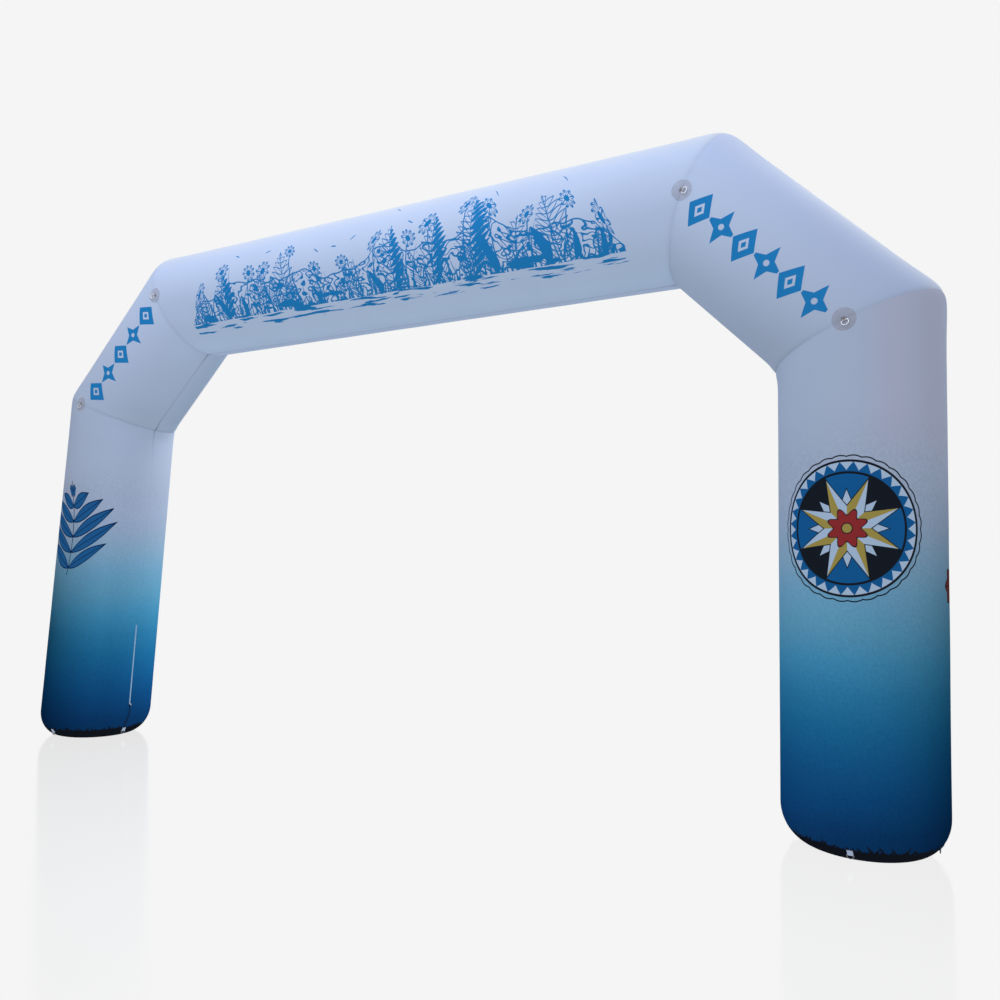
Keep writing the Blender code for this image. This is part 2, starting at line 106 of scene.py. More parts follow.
class NodeNet:
    """Adds nodes to a tree, by type, settings and the values or links of their sockets."""

    def __init__(self, tree: NodeTree) -> None:
        """Work on a tree."""
        self.tree = tree

    def feed(self, node: Node, inputs: dict[int | str, object]) -> None:
        """Set or link a node's input sockets, by name or index."""
        for name, value in inputs.items():
            port = node.inputs[name]
            if isinstance(value, Socket):
                self.tree.links.new(value.port, port)
            elif port.type == "RGBA":
                port.default_value = (*value, 1.0)
            else:
                port.default_value = value

    def node(self, kind: str, inputs: dict | None = None, settings: dict | None = None) -> Node:
        """Add one node.

        Args:
            kind: the node's type name.
            inputs: sockets by name or index, each with a value or a Socket to link.
            settings: properties of the node, which are set first.

        Returns:
            The new node.
        """
        made = self.tree.nodes.new(kind)
        for name, value in (settings or {}).items():
            setattr(made, name, value)
        self.feed(made, inputs or {})
        return made

    def out(self, kind: str, inputs: dict | None = None, settings: dict | None = None,
            output: int | str = 0) -> Socket:
        """Add one node and take one of its outputs."""
        return Socket(self, self.node(kind, inputs, settings).outputs[output])

    def math(self, operation: str, *values: Value, clamp: bool = False) -> Socket:
        """Add a Math node."""
        return self.out("ShaderNodeMath", dict(enumerate(values)),
                        {"operation": operation, "use_clamp": clamp})

    def least(self, *values: Value) -> Socket:
        """Smallest of several values."""
        return reduce(lambda low, value: self.math("MINIMUM", low, value), values)

    def most(self, *values: Value) -> Socket:
        """Largest of several values."""
        return reduce(lambda high, value: self.math("MAXIMUM", high, value), values)

    def unit(self, value: Socket) -> Socket:
        """A value kept between 0 and 1."""
        return self.math("ADD", value, 0.0, clamp=True)

    def rise(self, value: Socket, low: Value, span: float) -> Socket:
        """0 below low, 1 above low + span, straight between."""
        return self.unit((value - low) / span)

    def bell(self, distance: Socket, reach: float) -> Socket:
        """Gaussian bump of a distance."""
        scaled = distance / reach
        return self.math("EXPONENT", -(scaled * scaled))

    def fade(self, distance: Socket, reach: float) -> Socket:
        """Exponential fall with a distance."""
        return self.math("EXPONENT", distance * (-1.0 / reach))

    def vector(self, operation: str, *values: object, output: int = 0) -> Socket:
        """Add a Vector Math node."""
        return self.out("ShaderNodeVectorMath", dict(enumerate(values)), {"operation": operation}, output)

    def scaled(self, vector: object, factor: Value) -> Socket:
        """A vector times a number."""
        return self.out("ShaderNodeVectorMath", {0: vector, "Scale": factor}, {"operation": "SCALE"})

    def total(self, *vectors: Socket) -> Socket:
        """Sum of vectors."""
        return reduce(lambda first, second: self.vector("ADD", first, second), vectors)

    def dot(self, first: Socket, second: Vector) -> Socket:
        """Dot product with a fixed direction."""
        return self.vector("DOT_PRODUCT", first, self.join(*second), output=1)

    def join(self, x: Value, y: Value, z: Value = 0.0) -> Socket:
        """A vector from its parts."""
        return self.out("ShaderNodeCombineXYZ", {0: x, 1: y, 2: z})

    def split(self, vector: Socket) -> tuple[Socket, Socket, Socket]:
        """The parts of a vector."""
        made = self.node("ShaderNodeSeparateXYZ", {0: vector})
        return tuple(Socket(self, port) for port in made.outputs)

    def noise(self, vector: Socket, scale: float, detail: float = 2.0, seed: Value = 0.0) -> Socket:
        """Noise around 0.5 from a place and a seed."""
        inputs = {"Vector": vector, "W": seed, "Scale": scale, "Detail": detail}
        return self.out("ShaderNodeTexNoise", inputs, {"noise_dimensions": "4D"})

    def chance(self, cell: Socket, salt: float) -> Socket:
        """A fixed random number from 0 to 1 for a whole-number cell."""
        return self.out("ShaderNodeTexWhiteNoise", {"W": cell + salt}, {"noise_dimensions": "1D"})

    def end(self, kind: str, socket: Socket) -> None:
        """End the tree with an output node."""
        self.node(kind, {0: socket})


class ShadeTree(NodeNet):
    """The node tree of a material or of the world, at first empty."""

    def __init__(self, owner: Material | bpy.types.World) -> None:
        """Clear the tree."""
        owner.use_nodes = True
        super().__init__(owner.node_tree)
        self.tree.nodes.clear()

    def blend(self, factor: Value, low: Socket | Colour, high: Socket | Colour) -> Socket:
        """Mix two colours."""
        return self.out("ShaderNodeMix", {0: factor, 6: low, 7: high}, {"data_type": "RGBA"}, 2)


class ShaderNet(ShadeTree):
    """The node tree of one material, round its Principled shader."""

    def __init__(self, name: str) -> None:
        """Make a material."""
        self.material = bpy.data.materials.new(name)
        super().__init__(self.material)
        self.shader = self.node("ShaderNodeBsdfPrincipled")
        self.end("ShaderNodeOutputMaterial", Socket(self, self.shader.outputs[0]))
        self.place = self.out("ShaderNodeTexCoord", output="Object")

    def uv(self) -> tuple[Socket, Socket]:
        """The two coordinates of the piece's own UV map, in metres on the cloth."""
        return self.split(self.out("ShaderNodeUVMap", settings={"uv_map": CLOTH_UV}))[:2]

    def stored(self, name: str) -> Socket:
        """A number stored in the piece's mesh."""
        return self.out("ShaderNodeAttribute", settings={"attribute_name": name}, output="Fac")

    def ramp(self, value: Socket, stops: tuple[tuple[float, Colour], ...]) -> Socket:
        """A colour ramp with its stops."""
        made = self.node("ShaderNodeValToRGB", {0: value})
        elements = made.color_ramp.elements
        while len(elements) < len(stops):
            elements.new(1.0)
        for element, (place, colour) in zip(elements, stops):
            element.position = place
            element.color = (*colour, 1.0)
        return Socket(self, made.outputs[0])

    def relief(self, height: Socket, distance: float, strength: float = 1.0) -> Socket:
        """A bump from a height of 0 to 1 that stands for a distance in metres."""
        return self.out("ShaderNodeBump", {"Height": height, "Distance": distance, "Strength": strength})

    def finish(self, colour: Socket | Colour, roughness: Value, **others: Value) -> Material:
        """Feed the Principled shader.

        Args:
            colour: base colour.
            roughness: roughness.
            others: more sockets, with _ for each space in their names.

        Returns:
            The material.
        """
        named = {name.replace("_", " "): value for name, value in others.items()}
        self.feed(self.shader, {"Base Color": colour, "Roughness": roughness, **named})
        return self.material


SOCKET_KINDS = {int: "Int", float: "Float", Vector: "Vector"}


class GeometryNet(NodeNet):
    """A Geometry Nodes tree with named inputs that is run once, to make a plain mesh."""

    def __init__(self, name: str, inputs: dict[str, object]) -> None:
        """Make a tree.

        Args:
            name: name of the tree.
            inputs: its named inputs, each with the value that it runs with.
        """
        super().__init__(bpy.data.node_groups.new(name, "GeometryNodeTree"))
        self.add_port("Geometry", "Geometry")
        self.values = {}
        for label, value in inputs.items():
            kind = SOCKET_KINDS.get(type(value), "Material")
            port = self.add_port(label, kind)
            self.values[port.identifier] = list(value) if kind == "Vector" else value
        self.add_port("Geometry", "Geometry", "OUTPUT")
        self.source = self.tree.nodes.new("NodeGroupInput")

    def add_port(self, label: str, kind: str, way: str = "INPUT") -> bpy.types.NodeTreeInterfaceSocket:
        """Add a named input or output to the tree."""
        return self.tree.interface.new_socket(label, in_out=way, socket_type="NodeSocket" + kind)

    def __getitem__(self, label: str) -> Socket:
        """One of the tree's inputs."""
        return Socket(self, self.source.outputs[label])

    def points_along(self, line: Socket) -> tuple[Socket, Socket]:
        """Points along a curve, as far apart as the tree's pitch, and its tangents there."""
        made = self.node("GeometryNodeCurveToPoints", {0: line, 2: self["Pitch"]}, {"mode": "LENGTH"})
        return Socket(self, made.outputs["Points"]), Socket(self, made.outputs["Tangent"])

    def ball(self, segments: int, rings: int) -> Socket:
        """A ball 1 m across."""
        return self.out("GeometryNodeMeshUVSphere", {"Segments": segments, "Rings": rings, "Radius": 0.5})

    def aimed(self, axis: str, direction: Socket, turn: Socket | None = None, pivot: str = "AUTO") -> Socket:
        """A rotation that aims an axis along a direction, after another rotation if any."""
        first = {} if turn is None else {0: turn}
        return self.out("FunctionNodeAlignRotationToVector", {**first, 2: direction},
                        {"axis": axis, "pivot_axis": pivot})

    def placed(self, points: Socket, shape: Socket, turn: Socket, size: Socket) -> Socket:
        """A copy of a shape on each point."""
        return self.out("GeometryNodeInstanceOnPoints", {
            "Points": points, "Instance": shape, "Rotation": turn, "Scale": size})

    def close(self, geometry: Socket) -> None:
        """End the tree with real meshes, shaded smooth, and their material."""
        real = self.out("GeometryNodeRealizeInstances", {0: geometry})
        shaded = self.out("GeometryNodeSetShadeSmooth", {"Geometry": real, "Shade Smooth": True})
        dressed = self.out("GeometryNodeSetMaterial", {"Geometry": shaded, "Material": self["Finish"]})
        self.end("NodeGroupOutput", dressed)

    def run(self, name: str, carrier: Object | None = None) -> Object:
        """Run the tree and keep only the plain mesh that it makes.

        Args:
            name: name of the new object.
            carrier: object whose geometry the tree reads, which is used up.

        Returns:
            The new object, at the origin.
        """
        if carrier is None:
            carrier = link(bpy.data.objects.new("carrier", bpy.data.meshes.new("carrier")))
        modifier = carrier.modifiers.new(self.tree.name, "NODES")
        modifier.node_group = self.tree
        for identifier, value in self.values.items():
            modifier[identifier] = value
        bpy.context.view_layer.update()
        graph = bpy.context.evaluated_depsgraph_get()
        mesh = bpy.data.meshes.new_from_object(
            carrier.evaluated_get(graph), preserve_all_data_layers=True, depsgraph=graph)
        mesh.name = name
        bpy.data.objects.remove(carrier, do_unlink=True)
        return link(bpy.data.objects.new(name, mesh))


# -------------------- meshes

def link(made: Object) -> Object:
    """Put an object in the scene."""
    bpy.context.scene.collection.objects.link(made)
    return made


def towards(vector: Vector, direction: Vector) -> Vector:
    """The vector or its reverse, whichever looks along a direction."""
    return vector if vector.dot(direction) > 0 else -vector


def square(vector: Vector, axis: Vector) -> Vector:
    """Direction of the part of a vector that is square to an axis."""
    return (vector - axis * vector.dot(axis)).normalized()


def outward(mesh: Mesh, sharp_degrees: float) -> None:
    """Turn a closed mesh's faces out and shade it smooth up to an angle."""
    edit = bmesh.new()
    edit.from_mesh(mesh)
    bmesh.ops.recalc_face_normals(edit, faces=edit.faces)
    edit.to_mesh(mesh)
    edit.free()
    mesh.shade_smooth()
    mesh.set_sharp_from_angle(angle=radians(sharp_degrees))


def finished(name: str, mesh: Mesh, finish: Material, sharp_degrees: float) -> Object:
    """An object of a closed mesh, with its material and its shading."""
    mesh.materials.append(finish)
    outward(mesh, sharp_degrees)
    return link(bpy.data.objects.new(name, mesh))


def taken_out(name: str, edit: bmesh.types.BMesh, finish: Material) -> Object:
    """An object of a mesh that was being edited, which is freed."""
    mesh = bpy.data.meshes.new(name)
    edit.to_mesh(mesh)
    edit.free()
    return finished(name, mesh, finish, 50)


def grid_piece(name: str, rows: list[Path], finish: Material, spots: list[Outline], ring: bool = False,
               sharp_degrees: float = 60.0) -> Object:
    """A closed body from rows of points that each run once round it.

    Args:
        name: name of the new object.
        rows: rows of points, all of one length.
        finish: its material.
        spots: the UV place of each point, in metres; its round wraps one step further.
        ring: whether the last row joins the first, or else both are closed with a face.
        sharp_degrees: angle above which an edge is shaded sharp.

    Returns:
        The new object.
    """
    count = len(rows[0])
    mesh = bpy.data.meshes.new(name)
    faces, corners = [], []
    for low in range(len(rows) if ring else len(rows) - 1):
        high = (low + 1) % len(rows)
        for i in range(count):
            j = (i + 1) % count
            faces.append((low * count + i, low * count + j, high * count + j, high * count + i))
            corners.extend((spots[low][i], spots[low][i + 1], spots[low + 1][i + 1], spots[low + 1][i]))
    if not ring:
        faces.append(tuple(reversed(range(count))))
        corners.extend(spots[0][i] for i in reversed(range(count)))
        faces.append(tuple((len(rows) - 1) * count + i for i in range(count)))
        corners.extend(spots[-1][i] for i in range(count))
    mesh.from_pydata([point for row in rows for point in row], [], faces)
    layer = mesh.uv_layers.new(name=CLOTH_UV)
    layer.data.foreach_set("uv", [number for spot in corners for number in spot])
    return finished(name, mesh, finish, sharp_degrees)


def distances(path: Path) -> list[float]:
    """How far along a path each of its points lies."""
    return list(accumulate(((b - a).length for a, b in zip(path, path[1:])), initial=0.0))


def tangents(path: Path, ring: bool = False) -> Path:
    """Directions of a path at its points."""
    ends = [path[-1], *path, path[0]] if ring else [path[0], *path, path[-1]]
    return [(after - before).normalized() for before, after in zip(ends, ends[2:])]


def wire_piece(name: str, path: Path, radius: float, sides: int, finish: Material, ring: bool = False,
               taper: list[float] | None = None) -> Object:
    """A round wire or cord along a path, with UV in metres round and along it."""
    rows, side = [], tangents(path, ring)[0].orthogonal().normalized()
    for point, tangent, share in zip(path, tangents(path, ring), taper or [1.0] * len(path)):
        side = square(side, tangent)
        other, size = tangent.cross(side), radius * share
        turns = [2 * pi * k / sides for k in range(sides)]
        rows.append([point + (side * cos(t) + other * sin(t)) * size for t in turns])
    spots = [[(2 * pi * radius * k / sides, walked) for k in range(sides + 1)]
             for walked in distances(path + path[:1] if ring else path)]
    return grid_piece(name, rows, finish, spots, ring)


def bevelled_prism(name: str, outline: Outline, thickness: float, axes: tuple[Vector, Vector, Vector],
                   centre: Vector, finish: Material, bevel: float, hole: Outline | None = None) -> Object:
    """A flat plate with rounded edges, from an outline in its own plane.

    Args:
        name: name of the new object.
        outline: its corners along the first two axes.
        thickness: its size along the third axis.
        axes: its three directions.
        centre: its middle.
        finish: its material.
        bevel: width of the rounded edges.
        hole: outline of a hole through it, with as many corners as the outline.

    Returns:
        The new object.
    """
    first, second, third = axes
    edit = bmesh.new()
    loops, *holes = [[[edit.verts.new(centre + first * a + second * b + third * lift) for a, b in corners]
                      for lift in (-thickness / 2, thickness / 2)] for corners in (outline, hole) if corners]
    for i in range(len(outline)):
        j = (i + 1) % len(outline)
        edit.faces.new((loops[0][i], loops[0][j], loops[1][j], loops[1][i]))
        for inner in holes:
            edit.faces.new((inner[0][j], inner[0][i], inner[1][i], inner[1][j]))
            for k in (0, 1):
                edit.faces.new((loops[k][i], loops[k][j], inner[k][j], inner[k][i]))
    if not holes:
        for loop in loops:
            edit.faces.new(loop)
    bmesh.ops.recalc_face_normals(edit, faces=edit.faces)
    rims = [e for e in edit.edges if len(e.link_faces) == 2 and e.calc_face_angle(0.0) > radians(50)]
    bmesh.ops.bevel(edit, geom=rims, offset=bevel, segments=3, profile=0.5,
                    affect="EDGES", clamp_overlap=True)
    return taken_out(name, edit, finish)


def settle(piece: Object, slot: str, *nodes: str) -> Object:
    """Hang a piece on the arch's body, hide the imported parts that it stands for, and log its face count.
    """
    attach(piece, BODY)
    if nodes:
        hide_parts(*nodes)
    LOG.info("%s: %d faces", piece.name, len(piece.data.polygons))
    return piece


# -------------------- the line of the arch

@dataclass(frozen=True)
class ArchSizes:
    """Driving sizes of the arch."""

    radius: float = 0.5
    shoulder_reach: float = 1.005
    leg_joint_x: float = 3.59
    leg_joint_z: float = 3.25
    foot_x: float = 3.555
    foot_y: float = 0.168
    foot_height: float = 0.24
    foot_inset: float = 0.20
    seam_gap: float = 0.0003
    seat_gap: float = 0.0004
    seam_swell: float = 0.008
    seam_swell_reach: float = 0.20
    seam_draw: float = 0.010
    seam_draw_reach: float = 0.035

    def points(self) -> Path:
        """Points of the centre line from the left foot to the right foot."""
        top_x = self.leg_joint_x - self.shoulder_reach
        top_z = self.leg_joint_z + self.shoulder_reach
        return [Vector((-self.foot_x, -self.foot_y, 0)), Vector((-self.leg_joint_x, 0, self.leg_joint_z)),
                Vector((-top_x, 0, top_z)), Vector((top_x, 0, top_z)),
                Vector((self.leg_joint_x, 0, self.leg_joint_z)), Vector((self.foot_x, self.foot_y, 0))]


SIZES = ArchSizes()
POINTS = SIZES.points()
FRONT = Vector((0, -1, 0))
Z_AXIS = Vector((0, 0, 1))


class Mitre(Enum):
    """The four mitre seams, by the index of their point on the centre line."""

    LOW_LEFT = 1
    HIGH_LEFT = 2
    HIGH_RIGHT = 3
    LOW_RIGHT = 4

    @property
    def point(self) -> Vector:
        """Where the two centre lines meet."""
        return POINTS[self.value]

    @property
    def axes(self) -> tuple[Vector, Vector]:
        """Directions of the tube before and after the seam."""
        i = self.value
        return ((POINTS[i] - POINTS[i - 1]).normalized(), (POINTS[i + 1] - POINTS[i]).normalized())

    @property
    def along(self) -> Vector:
        """Normal of the seam's plane."""
        before, after = self.axes
        return (before + after).normalized()

    @property
    def outward(self) -> Vector:
        """In the seam's plane, away from the opening."""
        before, after = self.axes
        return (before - after).normalized()

    @property
    def front(self) -> Vector:
        """In the seam's plane, to the front."""
        return towards(self.along.cross(self.outward).normalized(), FRONT)


class Face(Enum):
    """The two faces of the arch that carry patches."""

    FRONT = 1
    BACK = -1


CORNER_FILLS = {Mitre.LOW_LEFT: 0.020, Mitre.HIGH_LEFT: 0.0, Mitre.HIGH_RIGHT: 0.0, Mitre.LOW_RIGHT: 0.014}
PATCH_DROPS = {Mitre.LOW_LEFT: 0.018, Mitre.HIGH_LEFT: 0.018, Mitre.HIGH_RIGHT: 0.036, Mitre.LOW_RIGHT: 0.0}


@dataclass(frozen=True)
class TubeLine:
    """The straight centre line of one tube length and the directions across it."""

    name: str
    start: Vector
    end: Vector
    low: Mitre | None
    high: Mitre

    @property
    def axis(self) -> Vector:
        """Direction from start to end."""
        return (self.end - self.start).normalized()

    @property
    def outward(self) -> Vector:
        """Across the tube, away from the opening."""
        flat = Vector((self.axis.z, 0, -self.axis.x))
        return square(towards(flat, Vector((self.start.x + self.end.x, 0, 1))), self.axis)

    @property
    def front(self) -> Vector:
        """Across the tube, to the front."""
        return towards(self.axis.cross(self.outward), FRONT)

    def radial(self, angle: float) -> Vector:
        """Direction out of the tube; 0 is outward and pi/2 is front."""
        return self.outward * cos(angle) + self.front * sin(angle)

    def plane(self, mitre: Mitre) -> Vector:
        """Normal of an end plane, which looks up along the axis."""
        return towards(mitre.along, self.axis)

    def crown(self, mitre: Mitre) -> Vector:
        """Across this tube, to the outer side of a mitre."""
        return square(mitre.outward, self.axis)


LINES = {line.name: line for line in (
    TubeLine("leg_left", POINTS[0], POINTS[1], None, Mitre.LOW_LEFT),
    TubeLine("shoulder_left", POINTS[1], POINTS[2], Mitre.LOW_LEFT, Mitre.HIGH_LEFT),
    TubeLine("crossbar", POINTS[2], POINTS[3], Mitre.HIGH_LEFT, Mitre.HIGH_RIGHT),
    TubeLine("shoulder_right", POINTS[3], POINTS[4], Mitre.HIGH_RIGHT, Mitre.LOW_RIGHT),
    TubeLine("leg_right", POINTS[5], POINTS[4], None, Mitre.LOW_RIGHT),
)}


def foot_skin(line: TubeLine, angle: float, height: float) -> tuple[Vector, Vector]:
    """Point of a leg's smooth skin at a height, and the direction out of it."""
    radial = line.radial(angle)
    arm = (radial - line.axis * (radial.z / line.axis.z)) * SIZES.radius

    def at(level: float) -> Vector:
        """Point of the skin at one level."""
        inset = 0.0
        if level < SIZES.foot_height:
            turn = asin(1 - level / SIZES.foot_height)
            inset = SIZES.foot_inset * (1 - cos(turn))
        return line.start + line.axis * (level / line.axis.z) + arm * (1 - inset / SIZES.radius)

    point = at(height)
    return point, square(radial, (point - at(max(height - 0.002, 0.0))).normalized())


# -------------------- finishes

WEAVE_PITCH = 0.0011
# Crossbar cloth colour: the legs' white painted 1.2 times lighter, as painted light for the stronger
# daylight high on the arch
LIT_BAR_GROUND = (0.733, 0.792, 0.938)


def weave(net: ShaderNet, across: Socket, along: Socket, pitch: float) -> Socket:
    """Height of a plain weave over two coordinates in metres, from 0 to 1."""
    turn = 2 * pi / pitch
    warp = (across * turn).sine()
    weft = (along * turn).sine()
    return warp * weft * 0.5 + 0.5


@dataclass(frozen=True)
class FilmFinish:
    """Thin clouded film of the round patches and their folded straps."""

    name: str
    tint: Colour = (0.50, 0.44, 0.46)
    haze: Colour = (0.64, 0.575, 0.60)
    cover: float = 0.16

    def material(self) -> Material:
        """Make the material."""
        net = ShaderNet(self.name)
        cloud = net.noise(net.place, 38.0, 3.0)
        colour = net.blend(cloud, self.tint, self.haze)
        ripple = net.noise(net.place, 160.0, 2.0)
        return net.finish(colour, cloud * 0.2 + 0.26, Normal=net.relief(ripple, 0.0003, 0.5),
                          Alpha=self.cover, Coat_Weight=0.3)


@dataclass(frozen=True)
class SteelFinish:
    """Bright round wire and small castings with fine wear."""

    name: str
    colour: Colour = (0.88, 0.90, 0.94)
    roughness: float = 0.20

    def material(self) -> Material:
        """Make the material."""
        net = ShaderNet(self.name)
        wear = net.noise(net.place, 240.0, 3.0)
        dull = tuple(part * 0.72 for part in self.colour)
        colour = net.blend(wear, self.colour, dull)
        return net.finish(colour, wear * 0.22 + (self.roughness - 0.08),
                          Normal=net.relief(wear, 0.00004), Metallic=1.0)


@dataclass(frozen=True)
class WovenFinish:
    """Woven webbing or zip tape, with ribs along its own length."""

    name: str
    colour: Colour
    shade: Colour
    rib: float
    depth: float = 0.0003

    def material(self) -> Material:
        """Make the material."""
        net = ShaderNet(self.name)
        across, along = net.uv()
        height = weave(net, across, along, self.rib)
        soil = net.noise(net.place, 60.0, 3.0)
        shaded = net.blend(net.unit(height * 0.6 + soil * 0.5), self.shade, self.colour)
        return net.finish(shaded, soil * 0.15 + 0.7, Normal=net.relief(height, self.depth))


@dataclass(frozen=True)
class BraidFinish:
    """Black braided cord with crossing strands."""

    name: str
    radius: float
    colour: Colour = (0.004, 0.005, 0.007)
    glint: Colour = (0.011, 0.012, 0.016)
    strands: int = 6
    lay: float = 0.012

    def material(self) -> Material:
        """Make the material."""
        net = ShaderNet(self.name)
        across, along = net.uv()
        turn = across * (self.strands / self.radius)
        run = along * (2 * pi * self.strands / 2 / self.lay)
        left = (turn + run).sine()
        right = (turn - run).sine()
        height = net.unit(net.most(left, right) * 0.5 + 0.5)
        return net.finish(net.blend(height, self.colour, self.glint), 0.75,
                          Normal=net.relief(height, 0.0005), Specular_IOR_Level=0.1)


@dataclass(frozen=True)
class ThreadFinish:
    """Twisted sewing thread."""

    name: str
    colour: Colour

    def material(self) -> Material:
        """Make the material."""
        net = ShaderNet(self.name)
        fuzz = net.noise(net.place, 900.0, 2.0)
        dull = tuple(part * 0.7 for part in self.colour)
        return net.finish(net.blend(fuzz, dull, self.colour), 0.7)


@dataclass(frozen=True)
class Cast:
    """Painted light and shade: a faint lightening or darkening of the cloth's colour along a band of its
    girth.

    Args:
        degrees: middle of the band, from the tube's outer side towards the front.
        reach: how far it reaches round the girth, in metres.
        factors: what red, green and blue are multiplied by at its middle.
        low: level above which it sets in.
        high: level above which it dies away.
    """

    degrees: float
    reach: float
    factors: Colour
    low: float = -1.0
    high: float = 9.0


@dataclass(frozen=True)
class ClothFinish:
    """Coated nylon cloth with a soft gloss; subclasses print on it."""

    name: str
    casts: tuple[Cast, ...] = ()
    ground: Colour = (0.61, 0.66, 0.78)
    gloss: float = 0.55
    shine: float = 0.0
    closing_shade: float = 0.03
    closing_knot: float = 0.55

    def print_on(self, net: ShaderNet, ground: Socket) -> Socket:
        """Colour of the cloth with its print; plain here."""
        return ground

    def material(self) -> Material:
        """Make the material."""
        net = PrintNet(self.name)
        across = net.across
        mottle = net.noise(net.place, 2.6, 3.0)
        lighter = tuple(min(part * 1.035, 1.0) for part in self.ground)
        darker = tuple(part * 0.965 for part in self.ground)
        colour = self.print_on(net, net.blend(mottle, darker, lighter))
        # Painted light and shade in bands round the girth
        for cast in self.casts:
            here = net.bell(across - radians(cast.degrees) * SIZES.radius, cast.reach)
            here = here * net.rise(net.level, cast.low, 0.3)
            here = here * (1.0 - net.rise(net.level, cast.high, 0.3))
            colour = net.blend(here, colour, net.vector("MULTIPLY", colour, cast.factors))
        # Painted shade along the mitre seams' creases
        seam = net.stored(SEAM_ATTRIBUTE)
        colour = net.blend(net.fade(seam, 0.014) * 0.12, colour, net.scaled(colour, 0.45))
        # Painted shade along the closing seam's groove, deeper near the mitre seams
        closing = net.stored(CLOSING_ATTRIBUTE)
        line = net.fade(seam, 0.09) * self.closing_knot + self.closing_shade
        colour = net.blend(net.bell(closing, 0.008) * line, colour, net.scaled(colour, 0.30))
        fine = net.noise(net.place, 26.0, 3.0)
        crinkle = net.noise(net.join(across * 9.0, net.along * 34.0), 1.0, 3.0)
        height = (weave(net, across, net.along, WEAVE_PITCH) * 0.03 + fine * 0.25
                  + crinkle * net.fade(seam, 0.16) * 1.6)
        return net.finish(colour, fine * 0.10 + self.gloss, Normal=net.relief(height, 0.0012, 0.8),
                          Specular_IOR_Level=self.shine)


class PrintNet(ShaderNet):
    """Shader tree with the marks that prints on the cloth are drawn from, in metres."""

    def __init__(self, name: str) -> None:
        """Make a material and the places on its cloth."""
        super().__init__(name)
        self.across, self.along = self.uv()
        self.level = self.split(self.place)[2]

    def region(self, inside: Socket, soft: float = 0.002) -> Socket:
        """1 where a value is above zero, with a soft edge."""
        return self.unit(inside / soft + 0.5)

    def stroke(self, distance: Socket, width: float) -> Socket:
        """A drawn line of a width round a distance of zero."""
        return self.region(width / 2 - abs(distance))

    def cells(self, along: Socket, pitch: float) -> tuple[Socket, Socket]:
        """Number of the cell that a place is in, and its offset from the cell's middle."""
        index = self.math("FLOOR", along / pitch)
        return index, along - (index + 0.5) * pitch

    def paint(self, colour: Socket, *layers: tuple[Socket, Socket | Colour]) -> Socket:
        """Lay colours over a colour, one after another, each by its own mask."""
        for mask, paint in layers:
            colour = self.blend(mask, colour, paint)
        return colour

    def wobble(self, reach: float, length: float, salt: float) -> Socket:
        """A slow wander to both sides, as of a hand-drawn line."""
        return (self.noise(self.place, 1.0 / length, 1.0, salt) - 0.5) * (2 * reach)

    def within(self, value: Socket, low: float, high: float) -> Socket:
        """1 between two bounds."""
        return (value > low) * (value < high)

    def polar(self, x: Socket, y: Socket) -> tuple[Socket, Socket]:
        """Distance from the middle and angle in turns from 0 to 1."""
        radius = self.math("SQRT", x * x + y * y)
        return radius, self.math("ARCTAN2", y, x) / (2 * pi) + 0.5

    def fold(self, turns: Socket, count: int) -> tuple[Socket, Socket]:
        """Angle from the middle of one of equal sectors, in radians, and the sector."""
        sector = self.math("FLOOR", turns * count)
        return (turns * count - sector - 0.5) * (2 * pi / count), sector

    def star(self, radius: Socket, angle: Socket, tip: float, valley: float, count: int) -> Socket:
        """Depth inside a star's outline, from a folded angle."""
        half = pi / count
        lean = (tip / valley - cos(half)) / sin(half)
        angle = abs(angle)
        reach = radius * (angle.cosine() + angle.sine() * lean)
        return (tip - reach) * (valley / tip)

    def frond(self, x: Socket, y: Socket, length: Value, leaf: Value,
              pitch: float, slope: float = 0.75) -> tuple[Socket, Socket]:
        """Pairs of pointed leaves along an upright stem.

        Args:
            x: distance across the stem.
            y: height along it.
            length: its length.
            leaf: length of its longest leaves, measured across the stem.
            pitch: distance between leaves.
            slope: how steeply the leaves rise.

        Returns:
            Depth inside the leaves, in metres, and the stem's line.
        """
        side = abs(x)
        rise = y - side * slope
        index, local = self.cells(rise, pitch)
        share = self.unit((index + 0.9) * pitch / length)
        size = (share ** 0.65 * pi).sine() * leaf + 0.0001
        run = self.unit(side / size)
        width = (run ** 0.8 * pi).sine() * (pitch * 0.42)
        leaves = self.least(width - abs(local), size - side, rise + pitch * 0.2,
                            (length - pitch * 0.4) - rise)
        stem = self.stroke(x, 0.008) * self.within(y, 0.0, 10.0) * (y < length)
        return leaves, stem


